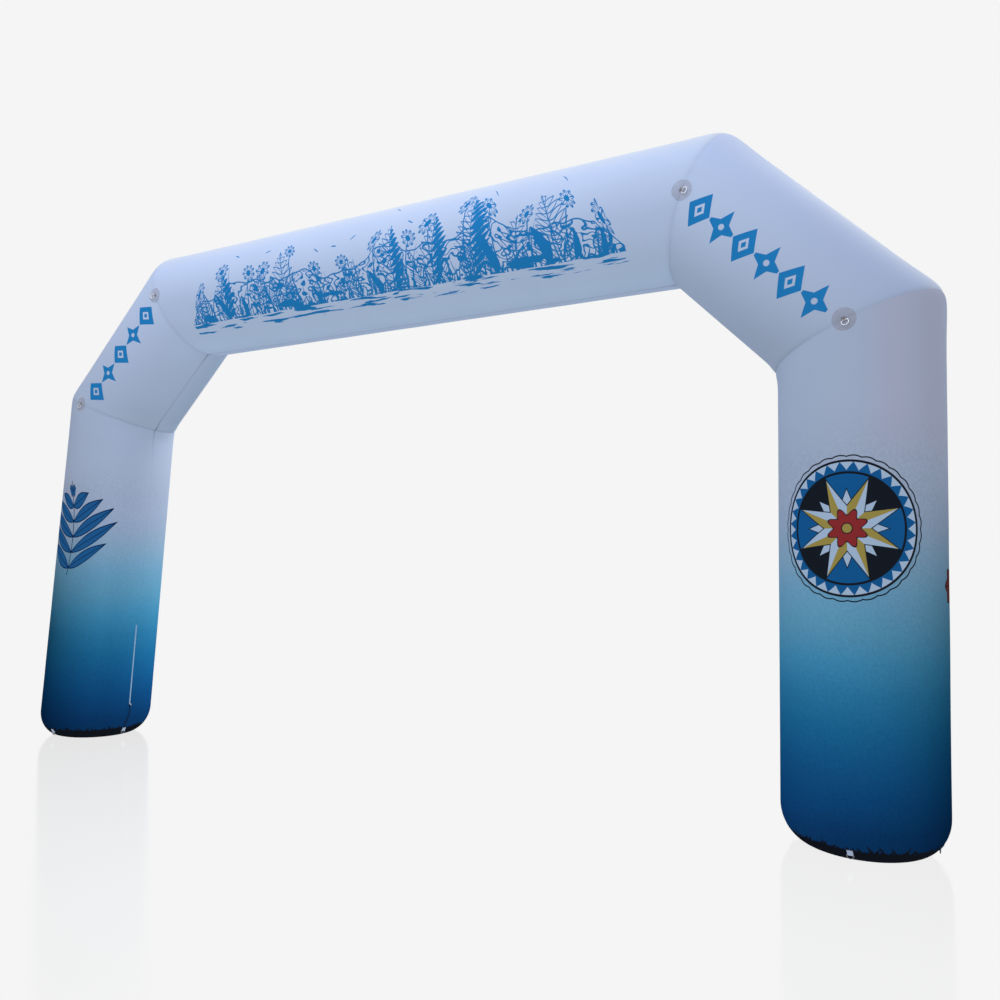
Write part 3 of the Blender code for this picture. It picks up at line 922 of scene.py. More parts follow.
@dataclass(frozen=True)
class LegCloth(ClothFinish):
    """Leg cloth that runs from black grass at the ground through deep blue to white."""

    fade_top: float = 3.6
    fade: tuple[tuple[float, Colour], ...] = (
        (0.00, (0.0060, 0.048, 0.142)), (0.20, (0.0065, 0.061, 0.182)),
        (0.40, (0.008, 0.097, 0.263)), (0.60, (0.0125, 0.144, 0.338)),
        (0.80, (0.020, 0.202, 0.404)), (1.00, (0.041, 0.275, 0.483)),
        (1.20, (0.086, 0.374, 0.583)), (1.40, (0.168, 0.460, 0.638)),
        (1.60, (0.245, 0.52, 0.70)), (1.80, (0.375, 0.580, 0.732)),
        (2.00, (0.5, 0.61, 0.752)), (2.20, (0.57, 0.64, 0.775)),
        (2.50, (0.605, 0.658, 0.782)))
    grass: Colour = (0.011, 0.0125, 0.017)
    grass_line: float = 0.088
    blades: tuple[Triple, ...] = (
        (0.017, 0.022, 0.35), (0.029, 0.036, -0.5), (0.071, 0.052, 0.8), (0.310, 0.085, -0.4))

    def tone(self, net: PrintNet, across: Socket, level: Socket) -> Value:
        """Painted light and shade: how much lighter or darker the colour is made round the leg and up it;
        even here.
        """
        return 1.0

    def motif(self, net: PrintNet, ground: Socket) -> Socket:
        """Picture on the leg; none here."""
        return ground

    def print_on(self, net: PrintNet, ground: Socket) -> Socket:
        """Fade, painted light and shade, picture and black grass."""
        across, level = net.across, net.level
        drift = net.wobble(0.030, 0.5, 3.0)
        stops = tuple((height / self.fade_top, colour) for height, colour in self.fade)
        leg_colour = net.ramp((level + drift) / self.fade_top, stops)
        grain = net.noise(net.place, 7.0, 3.0, 2.0)
        speck = net.rise(net.noise(net.place, 62.0, 2.0, 5.0), 0.40, 0.22)
        leg_colour = net.blend(grain * 0.06 + speck * 0.22, leg_colour, net.scaled(leg_colour, 0.6))
        leg_colour = net.blend(net.rise(level, 2.4, 0.3), leg_colour, ground)
        # Painted light and shade multiplied into the leg's colour
        leg_colour = net.scaled(leg_colour, self.tone(net, across, level))
        leg_colour = self.motif(net, leg_colour)
        edge = net.wobble(0.010, 0.09, 9.0) + self.grass_line
        dark = net.region(edge - level, 0.004)
        for pitch, height, lean in self.blades:
            index, local = net.cells(across - (level - self.grass_line) * lean, pitch)
            tall = net.chance(index, pitch * 100) * height
            tip = tall * (1.0 - abs(local) * (2.4 / min(pitch, 0.030)))
            dark = net.most(dark, net.region(edge + tip - level, 0.003))
        return net.blend(dark, leg_colour, self.grass)


@dataclass(frozen=True)
class StarLegCloth(LegCloth):
    """Right leg: a round folk star in front and a rust-coloured bloom on the outer side."""

    centre_degrees: float = 92.0
    centre_level: float = 1.98
    blue: Colour = (0.013, 0.142, 0.367)
    white: Colour = (0.60, 0.72, 0.86)
    gold: Colour = (0.52, 0.378, 0.0875)
    red: Colour = (0.41, 0.040, 0.040)
    black: Colour = (0.015, 0.019, 0.026)
    rust: Colour = (0.150, 0.036, 0.033)
    bloom_degrees: float = 1.0
    bloom_level: float = 1.65

    def rosette(self, net: PrintNet, ground: Socket) -> Socket:
        """Ringed star with coloured sectors and a flower in the middle."""
        x = net.across - radians(self.centre_degrees) * SIZES.radius
        radius, turns = net.polar(x + net.wobble(0.003, 0.2, 5.0), net.level - self.centre_level)
        ray = petal = net.fold(turns, 8)[0]
        gap, which = net.fold(turns + 1 / 16, 8)
        tooth = net.fold(turns, 32)[0]
        inner = net.star(radius, gap, 0.235, 0.120, 8)
        star = net.star(radius, ray, 0.318, 0.135, 8)
        flower = 0.098 + (petal * 8.0).cosine() * 0.020 - radius
        saw = 0.395 - abs(tooth) * (0.050 / (pi / 32)) - radius
        scallop = 0.425 + abs((tooth * 16.0).cosine()) * 0.008
        disc = net.paint(
            net.blend(net.math("MODULO", which, 2.0), self.blue, self.black),
            (net.region(inner), self.white), (net.stroke(inner, 0.007), self.black),
            (net.region(star), net.blend(net.region(ray, 0.01), self.gold, self.white)),
            (net.stroke(star, 0.009), self.black),
            (net.region(flower), self.red), (net.stroke(flower, 0.008), self.black),
            (net.region(0.030 - radius), self.gold),
            (net.stroke(radius - 0.030, 0.006), self.black),
            (net.region(radius - 0.330), net.blend(net.region(saw), self.white, self.blue)),
            (net.stroke(radius - 0.330, 0.014), self.black),
            (net.stroke(radius - 0.402, 0.018), self.black))
        return net.paint(ground, (net.region(0.407 - radius), disc),
                         (net.stroke(radius - scallop, 0.008), self.black))

    def tone(self, net: PrintNet, across: Socket, level: Socket) -> Socket:
        """Painted shade on the outer side, and a little painted light in front and at the foot."""
        low = 1.0 - net.rise(level, 1.5, 0.9)
        outer = net.bell(across, 0.40) * (low * 0.31 + 0.17)
        flank = (1.0 - net.rise(abs(across), 0.30, 0.42)) * (1.0 - net.rise(level, 0.6, 0.9))
        front = net.bell(across - 0.98, 0.30) * (1.0 - net.rise(level, 1.5, 0.5))
        foot = net.rise(abs(across), 0.85, 0.30) * (1.0 - net.rise(level, 0.25, 0.25))
        return 1.0 - outer - flank * 0.12 + front * 0.09 + foot * 0.16

    def motif(self, net: PrintNet, ground: Socket) -> Socket:
        """The star, and the bloom whose petals reach round from the outer side."""
        picture = self.rosette(net, ground)
        x = net.across - radians(self.bloom_degrees) * SIZES.radius
        radius, turns = net.polar(x, net.level - self.bloom_level)
        petal, _sector = net.fold(turns, 7)
        edge = 0.110 + (petal * 7.0).cosine() * 0.014 - radius
        picture = net.blend(net.region(edge), picture, self.rust)
        vein = net.most(net.stroke(petal * 0.06, 0.004) * net.region(radius - 0.045),
                        net.stroke(radius - 0.034, 0.008))
        return net.blend(net.most(net.stroke(edge, 0.008), vein * net.region(edge)), picture, self.black)


@dataclass(frozen=True)
class LeafLegCloth(LegCloth):
    """Left leg: a spray of broad blue leaves with dark outlines."""

    centre_degrees: float = 101.0
    foot_level: float = 1.56
    spray_length: float = 0.93
    leaf_length: float = 0.43
    leaf_pitch: float = 0.150
    blue: Colour = (0.014, 0.110, 0.300)
    pale: Colour = (0.050, 0.230, 0.480)
    dark: Colour = (0.006, 0.030, 0.100)

    def tone(self, net: PrintNet, across: Socket, level: Socket) -> Socket:
        """Painted shade between the outer side and the front, and painted light on the inner side."""
        outer = net.least(1.0 - net.rise(across, 0.48, 0.716), 0.77)
        outer = outer * net.rise(across, -0.35, 0.8)
        outer = outer * (1.0 - net.rise(level, 1.0, 1.6) * 0.9)
        inner = net.math("FLOORED_MODULO", across, 2 * pi * SIZES.radius)
        inner = net.rise(inner, 1.32, 0.52) * (1.0 - net.rise(inner, 2.0, 0.7))
        inner = inner * (1.0 - net.rise(level, 0.6, 1.4) * 0.9)
        return 1.0 - outer * 0.75 + inner * 0.36

    def motif(self, net: PrintNet, ground: Socket) -> Socket:
        """The spray with veined leaves."""
        y = net.level - self.foot_level
        lean = (y - 0.3) * 0.22
        x = net.across - radians(self.centre_degrees) * SIZES.radius - lean + y * y * 0.30
        x = x + net.wobble(0.008, 0.2, 6.0)
        leaves, stem = net.frond(x, y, self.spray_length, self.leaf_length, self.leaf_pitch, 0.70)
        vein = net.stroke(net.cells(y - abs(x) * 0.70, self.leaf_pitch)[1], 0.008)
        ribs = ((y - abs(x) * 1.9) * 260.0).sine()
        fill = net.blend(net.region(ribs, 1.6) * 0.55, self.blue, self.pale)
        picture = net.blend(net.region(leaves), ground, fill)
        marks = net.most(net.stroke(leaves, 0.011), stem, vein * net.region(leaves))
        return net.blend(marks, picture, self.dark)


@dataclass(frozen=True)
class LozengeCloth(ClothFinish):
    """Shoulder cloth with a row of bold blue lozenges and stars along its front."""

    centre_degrees: float = 97.0
    first: float = 0.11
    count: int = 6
    pitch: float = 0.200
    height: float = 0.256
    blue: Colour = (0.026, 0.275, 0.600)
    bright: Colour = LIT_BAR_GROUND

    def print_on(self, net: PrintNet, ground: Socket) -> Socket:
        """The row of motifs, on cloth painted lighter towards the crossbar for the stronger light up there.
        """
        # Painted light: from 3.1 m up the cloth turns to the lighter crossbar colour
        ground = net.blend(net.rise(net.level, 3.1, 1.3), ground, self.bright)
        y = net.across - radians(self.centre_degrees) * SIZES.radius
        index, x = net.cells(net.along - self.first, self.pitch)
        inside = net.within(index, -0.5, self.count - 0.5)
        half, side = self.height / 2, self.pitch / 2 * 0.92
        depth = 1.0 - abs(x) / side - abs(y) / half
        ring = net.region(depth, 0.03) * net.region(0.58 - depth, 0.03)
        core = net.region(depth - 0.80, 0.03)
        radius, turns = net.polar(x, y)
        ray, _sector = net.fold(turns + 0.125, 4)
        star = net.region(net.star(radius, ray, half * 0.98, half * 0.41, 4), 0.003)
        eye = net.region(radius - 0.020, 0.003)
        odd = abs(net.math("MODULO", index, 2.0))
        lozenge = net.most(ring, core) * (1.0 - odd)
        mark = net.most(lozenge, star * eye * odd)
        return net.blend(mark * inside, ground, self.blue)


@dataclass(frozen=True)
class MeadowCloth(ClothFinish):
    """Crossbar cloth with a pen drawing of a flowering meadow along its front."""

    ground: Colour = LIT_BAR_GROUND
    base_degrees: float = 132.0
    first: float = 0.42
    last: float = 4.75
    blue: Colour = (0.024, 0.270, 0.600)
    rises: tuple[Triple, ...] = (
        (0.95, 0.12, 0.24), (1.65, 0.10, 0.22), (2.75, 0.26, 0.20), (3.20, 0.16, 0.16),
        (3.62, 0.28, 0.20), (4.25, 0.22, 0.18))

    def print_on(self, net: PrintNet, ground: Socket) -> Socket:
        """Ground strokes, bushes, grass, leaves, fronds and flowers, drawn over each other."""
        along = net.along
        x = along + net.wobble(0.012, 0.10, 1.0)
        y = radians(self.base_degrees) * SIZES.radius - net.across + net.wobble(0.012, 0.14, 2.0)
        top = net.noise(net.join(along, 0.0), 1.7, 2.0, 3.0) * 0.20 + 0.28
        for place, height, reach in self.rises:
            top = top + net.bell(along - place, reach) * height
        ends = net.least(net.rise(along, self.first, 0.22), net.rise(-along, -self.last, 0.22))
        top = top * ends
        drawers = (self.bushes, self.grass, self.leaves, self.fronds, self.flowers)
        plants = [draw(net, x, y, top) for draw in drawers]
        loose = [self.ground_strokes(net, x, y, ends), self.seeds(net, x, y, top, ends)]
        return net.blend(net.most(*plants, *loose), ground, self.blue)

    def ground_strokes(self, net: PrintNet, x: Socket, y: Socket, ends: Socket) -> Socket:
        """Broken level strokes along the ground, with solid shadows here and there."""
        flow = net.noise(net.join(x * 3.0, y * 34.0), 1.0, 3.0, 4.0)
        strokes = net.region(flow - 0.55, 0.02) * net.within(y, -0.105, 0.020)
        mass = net.noise(net.join(x * 2.6, y * 9.0), 1.0, 2.0, 14.0) + (ends - 1.0) * 0.3
        shadows = net.region(mass - 0.59, 0.01) * net.within(y, -0.030, 0.085)
        return net.most(strokes, shadows) * (ends > 0.02)

    def bushes(self, net: PrintNet, x: Socket, y: Socket, top: Socket) -> Socket:
        """Rounded clumps drawn with curling lines."""
        rings = (net.noise(net.join(x * 4.6, y * 6.0), 1.0, 2.0, 5.0) * 70.0).sine()
        curl = net.region(rings - 0.52, 0.3)
        body = net.noise(net.join(x * 2.0, 0.0), 1.0, 2.0, 6.0)
        crown = top * body * 1.25
        rim = net.stroke(crown - y, 0.011)
        return net.most(curl * net.region(crown - y), rim) * (y > 0.0) * (top > 0.05)

    def grass(self, net: PrintNet, x: Socket, y: Socket, top: Socket) -> Socket:
        """Leaning blades in three densities."""
        drawn = []
        for pitch, share, lean in ((0.047, 0.45, 0.25), (0.079, 0.75, -0.2), (0.131, 1.1, 0.12)):
            index, local = net.cells(x - y * lean, pitch)
            tall = net.chance(index, pitch * 50) * top * share
            bend = (net.chance(index, pitch * 80) - 0.5) * 2.0
            width = net.unit(1.0 - y / (tall + 0.001)) * 0.0085
            drawn.append(net.region(width - abs(local - y * y * bend))
                         * net.within(y, 0.0, 2.0) * (y < tall))
        return net.most(*drawn)

    def leaves(self, net: PrintNet, x: Socket, y: Socket, top: Socket) -> Socket:
        """Broad pointed leaves with a midrib and hatching."""
        index, local = net.cells(x + 0.07, 0.215)
        tall = (net.chance(index, 51.0) * 0.35 + 0.40) * top
        spine = local - (net.chance(index, 52.0) - 0.5) * y * 0.9
        share = net.unit(y / (tall + 0.001))
        width = (share ** 0.7 * pi).sine() * (tall * 0.20 + 0.012)
        depth = width - abs(spine)
        hatch = net.stroke(net.cells(y - abs(spine) * 1.1, 0.030)[1], 0.010)
        dark_side = net.region(spine) * (net.chance(index, 53.0) > 0.5)
        inside = net.region(depth)
        marks = net.most(net.stroke(depth, 0.011), net.stroke(spine, 0.008) * inside,
                         hatch * inside, dark_side * inside)
        return marks * net.within(y, 0.0, 2.0) * (y < tall) * (top > 0.05)

    def fronds(self, net: PrintNet, x: Socket, y: Socket, top: Socket) -> Socket:
        """Feathered fronds that rise over the grass."""
        index, local = net.cells(x, 0.37)
        tall = (net.chance(index, 21.0) * 0.35 + 0.80) * top
        lean = (net.chance(index, 22.0) - 0.5) * 0.5
        spine = local - y * lean - y * y * lean
        leaves, stem = net.frond(spine, y, tall, tall * 0.27, 0.056, 0.8)
        dark_side = (spine > 0.0) * (net.chance(index, 23.0) > 0.5)
        drawn = net.most(net.stroke(leaves, 0.009), net.region(leaves) * dark_side)
        return net.most(drawn, stem * (y < tall)) * (y > 0.0)

    def flowers(self, net: PrintNet, x: Socket, y: Socket, top: Socket) -> Socket:
        """Round flower heads on stems, with outlined petals."""
        index, local = net.cells(x + 0.11, 0.285)
        tall = (net.chance(index, 31.0) * 0.35 + 0.75) * top
        size = net.chance(index, 32.0) * 0.030 + 0.055
        spine = local - (net.chance(index, 33.0) - 0.5) * y * 0.4
        radius, turns = net.polar(spine, y - tall)
        petal, _sector = net.fold(turns, 9)
        edge = size * (abs((petal * 4.5).cosine()) * 0.38 + 0.62)
        head = net.most(net.stroke(radius - edge, 0.011), net.region(size * 0.36 - radius),
                        net.region((petal * 9.0).cosine() - 0.70, 0.2) * net.region(edge - radius))
        stem = net.stroke(spine, 0.010) * net.within(y, 0.0, 2.0) * (y < (tall - size * 0.8))
        return net.most(head, stem) * (top > 0.05)

    def seeds(self, net: PrintNet, x: Socket, y: Socket, top: Socket, ends: Socket) -> Socket:
        """A few small drifting leaves over the plants."""
        index, local = net.cells(x, 0.19)
        level = top + net.chance(index, 41.0) * 0.17 + 0.05
        tilt = (net.chance(index, 42.0) - 0.5) * 1.8
        rise = y - level - local * tilt
        depth = 0.007 * (1.0 - (local / 0.032) * (local / 0.032)) - abs(rise)
        return net.region(depth) * (net.chance(index, 43.0) > 0.4) * (ends > 0.5)


# -------------------- sub-assemblies

@dataclass(frozen=True)
class ClosingSeam:
    """The lengthwise seam on a tube's inner side, which may lean round to the front."""

    depth: float = 0.0010
    reach: float = 0.009
    low_lean: float = 0.0
    high_lean: float = 0.0
    bend: float = 1.0


@dataclass(frozen=True)
class ClothForm:
    """How blown-up cloth departs from a plain tube beside its seams, in metres."""

    crease: float = 0.0024
    crease_reach: float = 0.012
    pucker: float = 0.0036
    pucker_reach: float = 0.050
    pucker_pitch: float = 0.055
    fill_reach: float = 0.065
    wave: float = 0.0045
    wave_length: float = 0.75
    ripple: float = 0.0012
    ripple_length: float = 0.16


@dataclass
class AirTube:
    """One length of the air tube, drawn up round its centre line by a geometry tree."""

    line: TubeLine
    finish: Material
    body_rows: int
    columns: int = 256
    foot_rows: int = 18
    crowding: float = 0.88
    column_crowding: float = 0.75
    zip_span: tuple[float, float] | None = None
    closing: ClosingSeam = ClosingSeam()
    form: ClothForm = ClothForm()

    @property
    def has_foot(self) -> bool:
        """Whether the low end is a rounded foot."""
        return self.line.low is None

    @property
    def row_count(self) -> int:
        """Rows of points from pole to pole."""
        return self.body_rows + 2 + (self.foot_rows if self.has_foot else 0)

    def tree(self) -> GeometryNet:
        """Lay out the geometry tree of this tube."""
        line, form = self.line, self.form
        net = GeometryNet("tree_" + line.name, {
            "Finish": self.finish, "Columns": self.columns + 1, "Rows": self.row_count,
            "Radius": SIZES.radius, "Start": line.start, "Axis": line.axis,
            "Outward": line.outward, "Front": line.front, "Seam Gap": SIZES.seam_gap,
            "Crease": form.crease, "Pucker": form.pucker, "Groove": self.closing.depth,
            "Wave": form.wave, "Ripple": form.ripple, "Seed": 4.0})
        self.net = net
        grid = net.node("GeometryNodeMeshGrid", {"Vertices X": net["Columns"], "Vertices Y": net["Rows"]})
        column, row, _none = net.split(Socket(net, grid.outputs["UV Map"]))
        row = row * (self.row_count - 1.0)
        angle = (column - (column * (2 * pi)).sine() * (self.column_crowding / (2 * pi)) - 0.5) * (2 * pi)
        self.radial = net.total(net.scaled(net["Outward"], angle.cosine()),
                            net.scaled(net["Front"], angle.sine()))
        foot = self.foot_rows if self.has_foot else 0
        part = net.unit((row - (1.0 + foot)) / (self.body_rows - 1.0))
        self.groove = self.closing_groove(angle, part)
        low = self.low_end()
        high = self.mitre_end(line.high, -1)
        place = low + (high - low) * self.spacing(part)
        radius = self.skin_radius(place, low, high)
        position = self.spot(place, radius)
        if self.has_foot:
            turn = (1.0 - net.unit((row - 1.0) / foot)) * (pi / 2)
            place = place - turn.sine() * (SIZES.foot_height / line.axis.z)
            position = self.foot_spot(place, radius, turn)
        position = self.close_poles(row, position)

        marked = net.out("GeometryNodeSetPosition",
                         {"Geometry": Socket(net, grid.outputs["Mesh"]), "Position": position})
        near = high - place
        if not self.has_foot:
            near = net.least(near, place - low)
        for label, value, kind, domain in (
                (CLOTH_UV, net.join(angle * net["Radius"], place), "FLOAT2", "CORNER"),
                (SEAM_ATTRIBUTE, net.most(near, 0.0), "FLOAT", "POINT"),
                (CLOSING_ATTRIBUTE, self.seam_side, "FLOAT", "POINT")):
            marked = net.out("GeometryNodeStoreNamedAttribute",
                             {"Geometry": marked, "Name": label, "Value": value},
                             {"data_type": kind, "domain": domain})
        net.close(net.out("GeometryNodeMergeByDistance", {"Geometry": marked, "Distance": 0.00002}))
        return net

    def spacing(self, part: Socket) -> Socket:
        """Place of a row from 0 to 1, with rows crowded beside each mitre seam."""
        if self.has_foot:
            rest = 1.0 - part
            return 1.0 - (rest * (1.0 - self.crowding) + rest * rest * self.crowding)
        return part - (part * (2 * pi)).sine() * (self.crowding / (2 * pi))

    def spot(self, place: Socket, radius: Socket) -> Socket:
        """Point at a place along the axis and a distance from it."""
        net = self.net
        return net.total(net["Start"], net.scaled(net["Axis"], place), net.scaled(self.radial, radius))

    def closing_groove(self, angle: Socket, part: Socket) -> Socket:
        """Depth of the groove of the lengthwise seam on the inner side."""
        net, seam = self.net, self.closing
        lean = part ** seam.bend * (seam.high_lean - seam.low_lean) + seam.low_lean
        turn = net.least(abs(angle - pi + lean), abs(angle + pi + lean))
        self.seam_side = turn * net["Radius"]
        return net.bell(self.seam_side, seam.reach) * net["Groove"]

    def puckers(self, mitre: Mitre) -> Socket:
        """Depth of the gathers along a mitre seam, the same from both of its sides."""
        net, line, form = self.net, self.line, self.form
        normal = line.plane(mitre)
        steep = line.axis.dot(normal)
        facing = net.dot(self.radial, normal)
        offset = (line.start - mitre.point).dot(normal)
        reach = (facing * net["Radius"] + offset) / -steep
        seam = self.spot(reach, net["Radius"])
        coarse = net.noise(seam, 1.0 / form.pucker_pitch, 2.0, net["Seed"])
        broad = net.noise(seam, 2.2, 1.0, net["Seed"] + 3.0)
        return net.unit((coarse - 0.36) * 2.4) * (broad * 1.5 + 0.1) * net["Pucker"]

    def sides(self, mitre: Mitre) -> tuple[Socket, Socket]:
        """How much the skin looks to the outer and to the inner side of a mitre."""
        facing = self.net.dot(self.radial, self.line.crown(mitre))
        outer, inner = self.net.most(facing, 0.0), self.net.least(facing, 0.0)
        return outer * outer, inner * inner

    def mitre_end(self, mitre: Mitre, side: int) -> Socket:
        """Place along the axis of a mitred end.

        Args:
            mitre: the seam.
            side: 1 for the low end, -1 for the high end.

        Returns:
            The place.
        """
        net, line = self.net, self.line
        normal = line.plane(mitre)
        offset = (line.start - mitre.point).dot(normal)
        outer, inner = self.sides(mitre)
        radius = (net["Radius"] - outer * SIZES.seam_draw + inner * CORNER_FILLS[mitre]
                  - net["Crease"] - self.puckers(mitre) - self.groove)
        reach = net.dot(self.radial, normal) * radius + offset
        target = net["Seam Gap"] * (side / 2.0)
        return (target - reach) / line.axis.dot(normal)

    def low_end(self) -> Socket:
        """Place of the low end: a mitre, or the top of the foot's rounding."""
        net, line = self.net, self.line
        if not self.has_foot:
            return self.mitre_end(line.low, 1)
        rise = net.split(self.radial)[2] * net["Radius"]
        return (SIZES.foot_height - rise) / line.axis.z

    def beside(self, mitre: Mitre, distance: Socket) -> Socket:
        """Change of the radius beside a mitre seam.

        The outer side is swollen and drawn in at the seam, the inner corner is filled, and
        the cloth is creased and gathered all round.
        """
        net, form = self.net, self.form
        outer, inner = self.sides(mitre)
        swell = net.bell(distance, SIZES.seam_swell_reach) * SIZES.seam_swell
        draw = net.fade(distance, SIZES.seam_draw_reach) * (SIZES.seam_swell + SIZES.seam_draw)
        fill = net.bell(distance, form.fill_reach) * CORNER_FILLS[mitre]
        crease = net.fade(distance, form.crease_reach) * net["Crease"]
        gather = net.fade(distance, form.pucker_reach) * self.puckers(mitre)
        return outer * (swell - draw) + inner * fill - crease - gather

    def skin_radius(self, place: Socket, low: Socket, high: Socket) -> Socket:
        """Radius of the skin at each point."""
        net, form = self.net, self.form
        plain, groove = self.spot(place, net["Radius"]), self.groove
        level = net.split(plain)[2]
        away = net.rise(high - place, 0.04, 0.30)
        if self.zip_span:
            bottom, top = self.zip_span
            beyond = net.most(level - top, bottom - level)
            groove = groove * net.rise(beyond, 0.0, 0.03)
        radius = net["Radius"] + self.beside(self.line.high, high - place) - groove
        if self.has_foot:
            away = away * net.rise(level, 0.16, 0.30)
        else:
            radius = radius + self.beside(self.line.low, place - low)
            away = away * net.rise(place - low, 0.04, 0.30)
        away = away * net.rise(self.seam_side, 0.02, 0.10)
        wave = net.noise(plain, 1.0 / form.wave_length, 1.0, net["Seed"] + 11.0) - 0.5
        ripple = net.noise(plain, 1.0 / form.ripple_length, 1.0, net["Seed"] + 17.0) - 0.5
        uneven = wave * net["Wave"] + ripple * net["Ripple"]
        return radius + uneven * away

    def foot_spot(self, place: Socket, radius: Socket, turn: Socket) -> Socket:
        """Point of the foot's rounding, which is drawn in level by level."""
        net, axis = self.net, self.line.axis
        inset = (1.0 - turn.cosine()) * SIZES.foot_inset
        slope = net.split(self.radial)[2] * (-1.0 / axis.z)
        arm = net.total(self.radial, net.scaled(net["Axis"], slope))
        return net.total(self.spot(place, radius), net.scaled(arm, -inset))

    def close_poles(self, row: Socket, position: Socket) -> Socket:
        """Draw the first and last rows together in the middle of the two ends."""
        net, line = self.net, self.line
        half = SIZES.seam_gap / 2
        low = line.start if self.has_foot else line.low.point + line.plane(line.low) * half
        high = line.high.point - line.plane(line.high) * half
        for middle, is_pole in ((low, row < 0.5), (high, row > (self.row_count - 1.5))):
            position = net.out("ShaderNodeMix", {0: is_pole, 4: position, 5: net.join(*middle)},
                               {"data_type": "VECTOR"}, 1)
        return position

    def build(self) -> Object:
        made = self.tree().run("cloth_" + self.line.name)
        outward(made.data, 50)
        settle(made, "leg_cloth" if self.has_foot else "top_cloth", self.line.name)
        return made


class Skin:
    """The blown-up tubes' surface, which pieces that lie on it are laid against."""

    def __init__(self, tubes: dict[str, Object]) -> None:
        """Read the tubes' meshes."""
        self.trees = [BVHTree.FromPolygons([vertex.co for vertex in tube.data.vertices],
                                           [tuple(face.vertices) for face in tube.data.polygons])
                      for tube in tubes.values()]

    def depth(self, point: Vector, normal: Vector, reach: float = 0.05) -> float:
        """How far the cloth lies under a point, looking in along its normal."""
        start = point + normal * reach
        hits = [tree.ray_cast(start, -normal, reach * 2) for tree in self.trees]
        return min((hit[3] - reach for hit in hits if hit[0] is not None), default=0.0)

    def foot_of(self, point: Vector, normal: Vector) -> Vector:
        """The point of the cloth on a line through a point."""
        return point - normal * self.depth(point, normal)


@dataclass
class Stitching:
    """A row of short thread stitches along paths, laid out by a geometry tree."""

    finish: Material
    pitch: float = 0.0058
    stitch: float = 0.0040
    thread: float = 0.0009

    def build(self, name: str, paths: list[tuple[Path, bool]]) -> Object:
        """Make one piece from several paths.

        Args:
            name: name of the piece.
            paths: points of each path, and whether it is closed.

        Returns:
            The stitches as one mesh.
        """
        points, edges = [], []
        for path, closed in paths:
            first = len(points)
            points.extend(path)
            edges.extend((i, i + 1) for i in range(first, len(points) - 1))
            if closed:
                edges.append((len(points) - 1, first))
        mesh = bpy.data.meshes.new(name)
        mesh.from_pydata(points, edges, [])
        carrier = link(bpy.data.objects.new(name + "_line", mesh))
        net = GeometryNet("tree_" + name, {
            "Finish": self.finish, "Pitch": self.pitch, "Stitch": self.stitch,
            "Thread": self.thread, "Seed": 7})
        line = net.out("GeometryNodeMeshToCurve", {0: net["Geometry"]})
        points, tangent = net.points_along(line)
        turn = net.aimed("Z", tangent)
        ball = net.ball(5, 4)
        uneven = net.out("FunctionNodeRandomValue", {2: 0.85, 3: 1.1, 8: net["Seed"]},
                         {"data_type": "FLOAT"}, 1)
        size = net.join(net["Thread"], net["Thread"], net["Stitch"] * uneven)
        net.close(net.placed(points, ball, turn, size))
        return net.run(name, carrier)


def smooth_step(value: float) -> float:
    """Soft rise from 0 to 1."""
    value = min(max(value, 0.0), 1.0)
    return value * value * (3 - 2 * value)


def ribbon(name: str, path: Path, across: Vector, width: float, thickness: float,
           finish: Material) -> Object:
    """A flat strap along a path, with softly rounded edges."""
    half, edge = width / 2, thickness / 2
    section = [(half * k / 4, -edge) for k in range(-4, 5)] + [(half + edge * 0.7, 0.0)]
    section += [(-a, -b) for a, b in section]
    around = [0.0]
    for first, second in zip(section, section[1:] + section[:1]):
        around.append(around[-1] + hypot(second[0] - first[0], second[1] - first[1]))
    rows = []
    for point, forward in zip(path, tangents(path)):
        normal = forward.cross(across).normalized()
        rows.append([point + across * a + normal * b for a, b in section])
    spots = [[(a, walked) for a in around] for walked in distances(path)]
    return grid_piece(name, rows, finish, spots, sharp_degrees=55)


@dataclass(frozen=True)
class FoldedStrap:
    """A strap sewn flat, folded round a ring's bar and back on itself."""

    width: float
    thickness: float = 0.0015
    bar_clearance: float = 0.0004
    fold_reach: float = 0.012
    wire_radius: float = 0.0026
    turns: int = 14

    @property
    def loop_radius(self) -> float:
        """Radius of the loop's middle line round the bar."""
        return self.wire_radius + self.bar_clearance + self.thickness / 2

    def bar_of(self, seat: Seat) -> Vector:
        """Centre of the ring's bar for a seat line."""
        point, normal = seat[-1]
        return point + normal * (SIZES.seat_gap + self.thickness / 2 + self.loop_radius)

    def path(self, seat: Seat) -> Path:
        """Middle line of the strap: down its seat, round the bar and back."""
        lift = SIZES.seat_gap + self.thickness / 2
        lower = [point + normal * lift for point, normal in seat]
        normal = seat[-1][1]
        bar = self.bar_of(seat)
        forward = square((lower[-1] - lower[-2]).normalized(), normal)
        size = self.loop_radius
        loop = [bar + forward * (size * sin(pi * k / self.turns))
                - normal * (size * cos(pi * k / self.turns)) for k in range(1, self.turns + 1)]
        gap = self.thickness + SIZES.seam_gap
        upper = []
        for place, (_point, up) in list(zip(reversed(lower), reversed(seat)))[1:-1]:
            away = (place - lower[-1]).length
            rise = 2 * size + (gap - 2 * size) * smooth_step(away / self.fold_reach)
            upper.append(place + up * rise)
        return lower + loop + upper

    def build(self, name: str, seat: Seat, across: Vector, finish: Material) -> Object:
        """Make the strap."""
        return ribbon(name, self.path(seat), across, self.width - self.thickness * 0.7,
                      self.thickness, finish)

    def stitch_lines(self, seat: Seat, across: Vector) -> list[tuple[Path, bool]]:
        """Closed box of stitches on the upper layer, by the sewn end."""
        lift = SIZES.seat_gap + self.thickness * 2 + SIZES.seam_gap
        side = self.width / 2 - 0.0035
        sewn = [point + normal * lift for point, normal in seat[2:int(len(seat) * 0.52)]]
        left, right = ([point + across * shift for point in sewn] for shift in (-side, side))
        return [(left + right[::-1], True)]


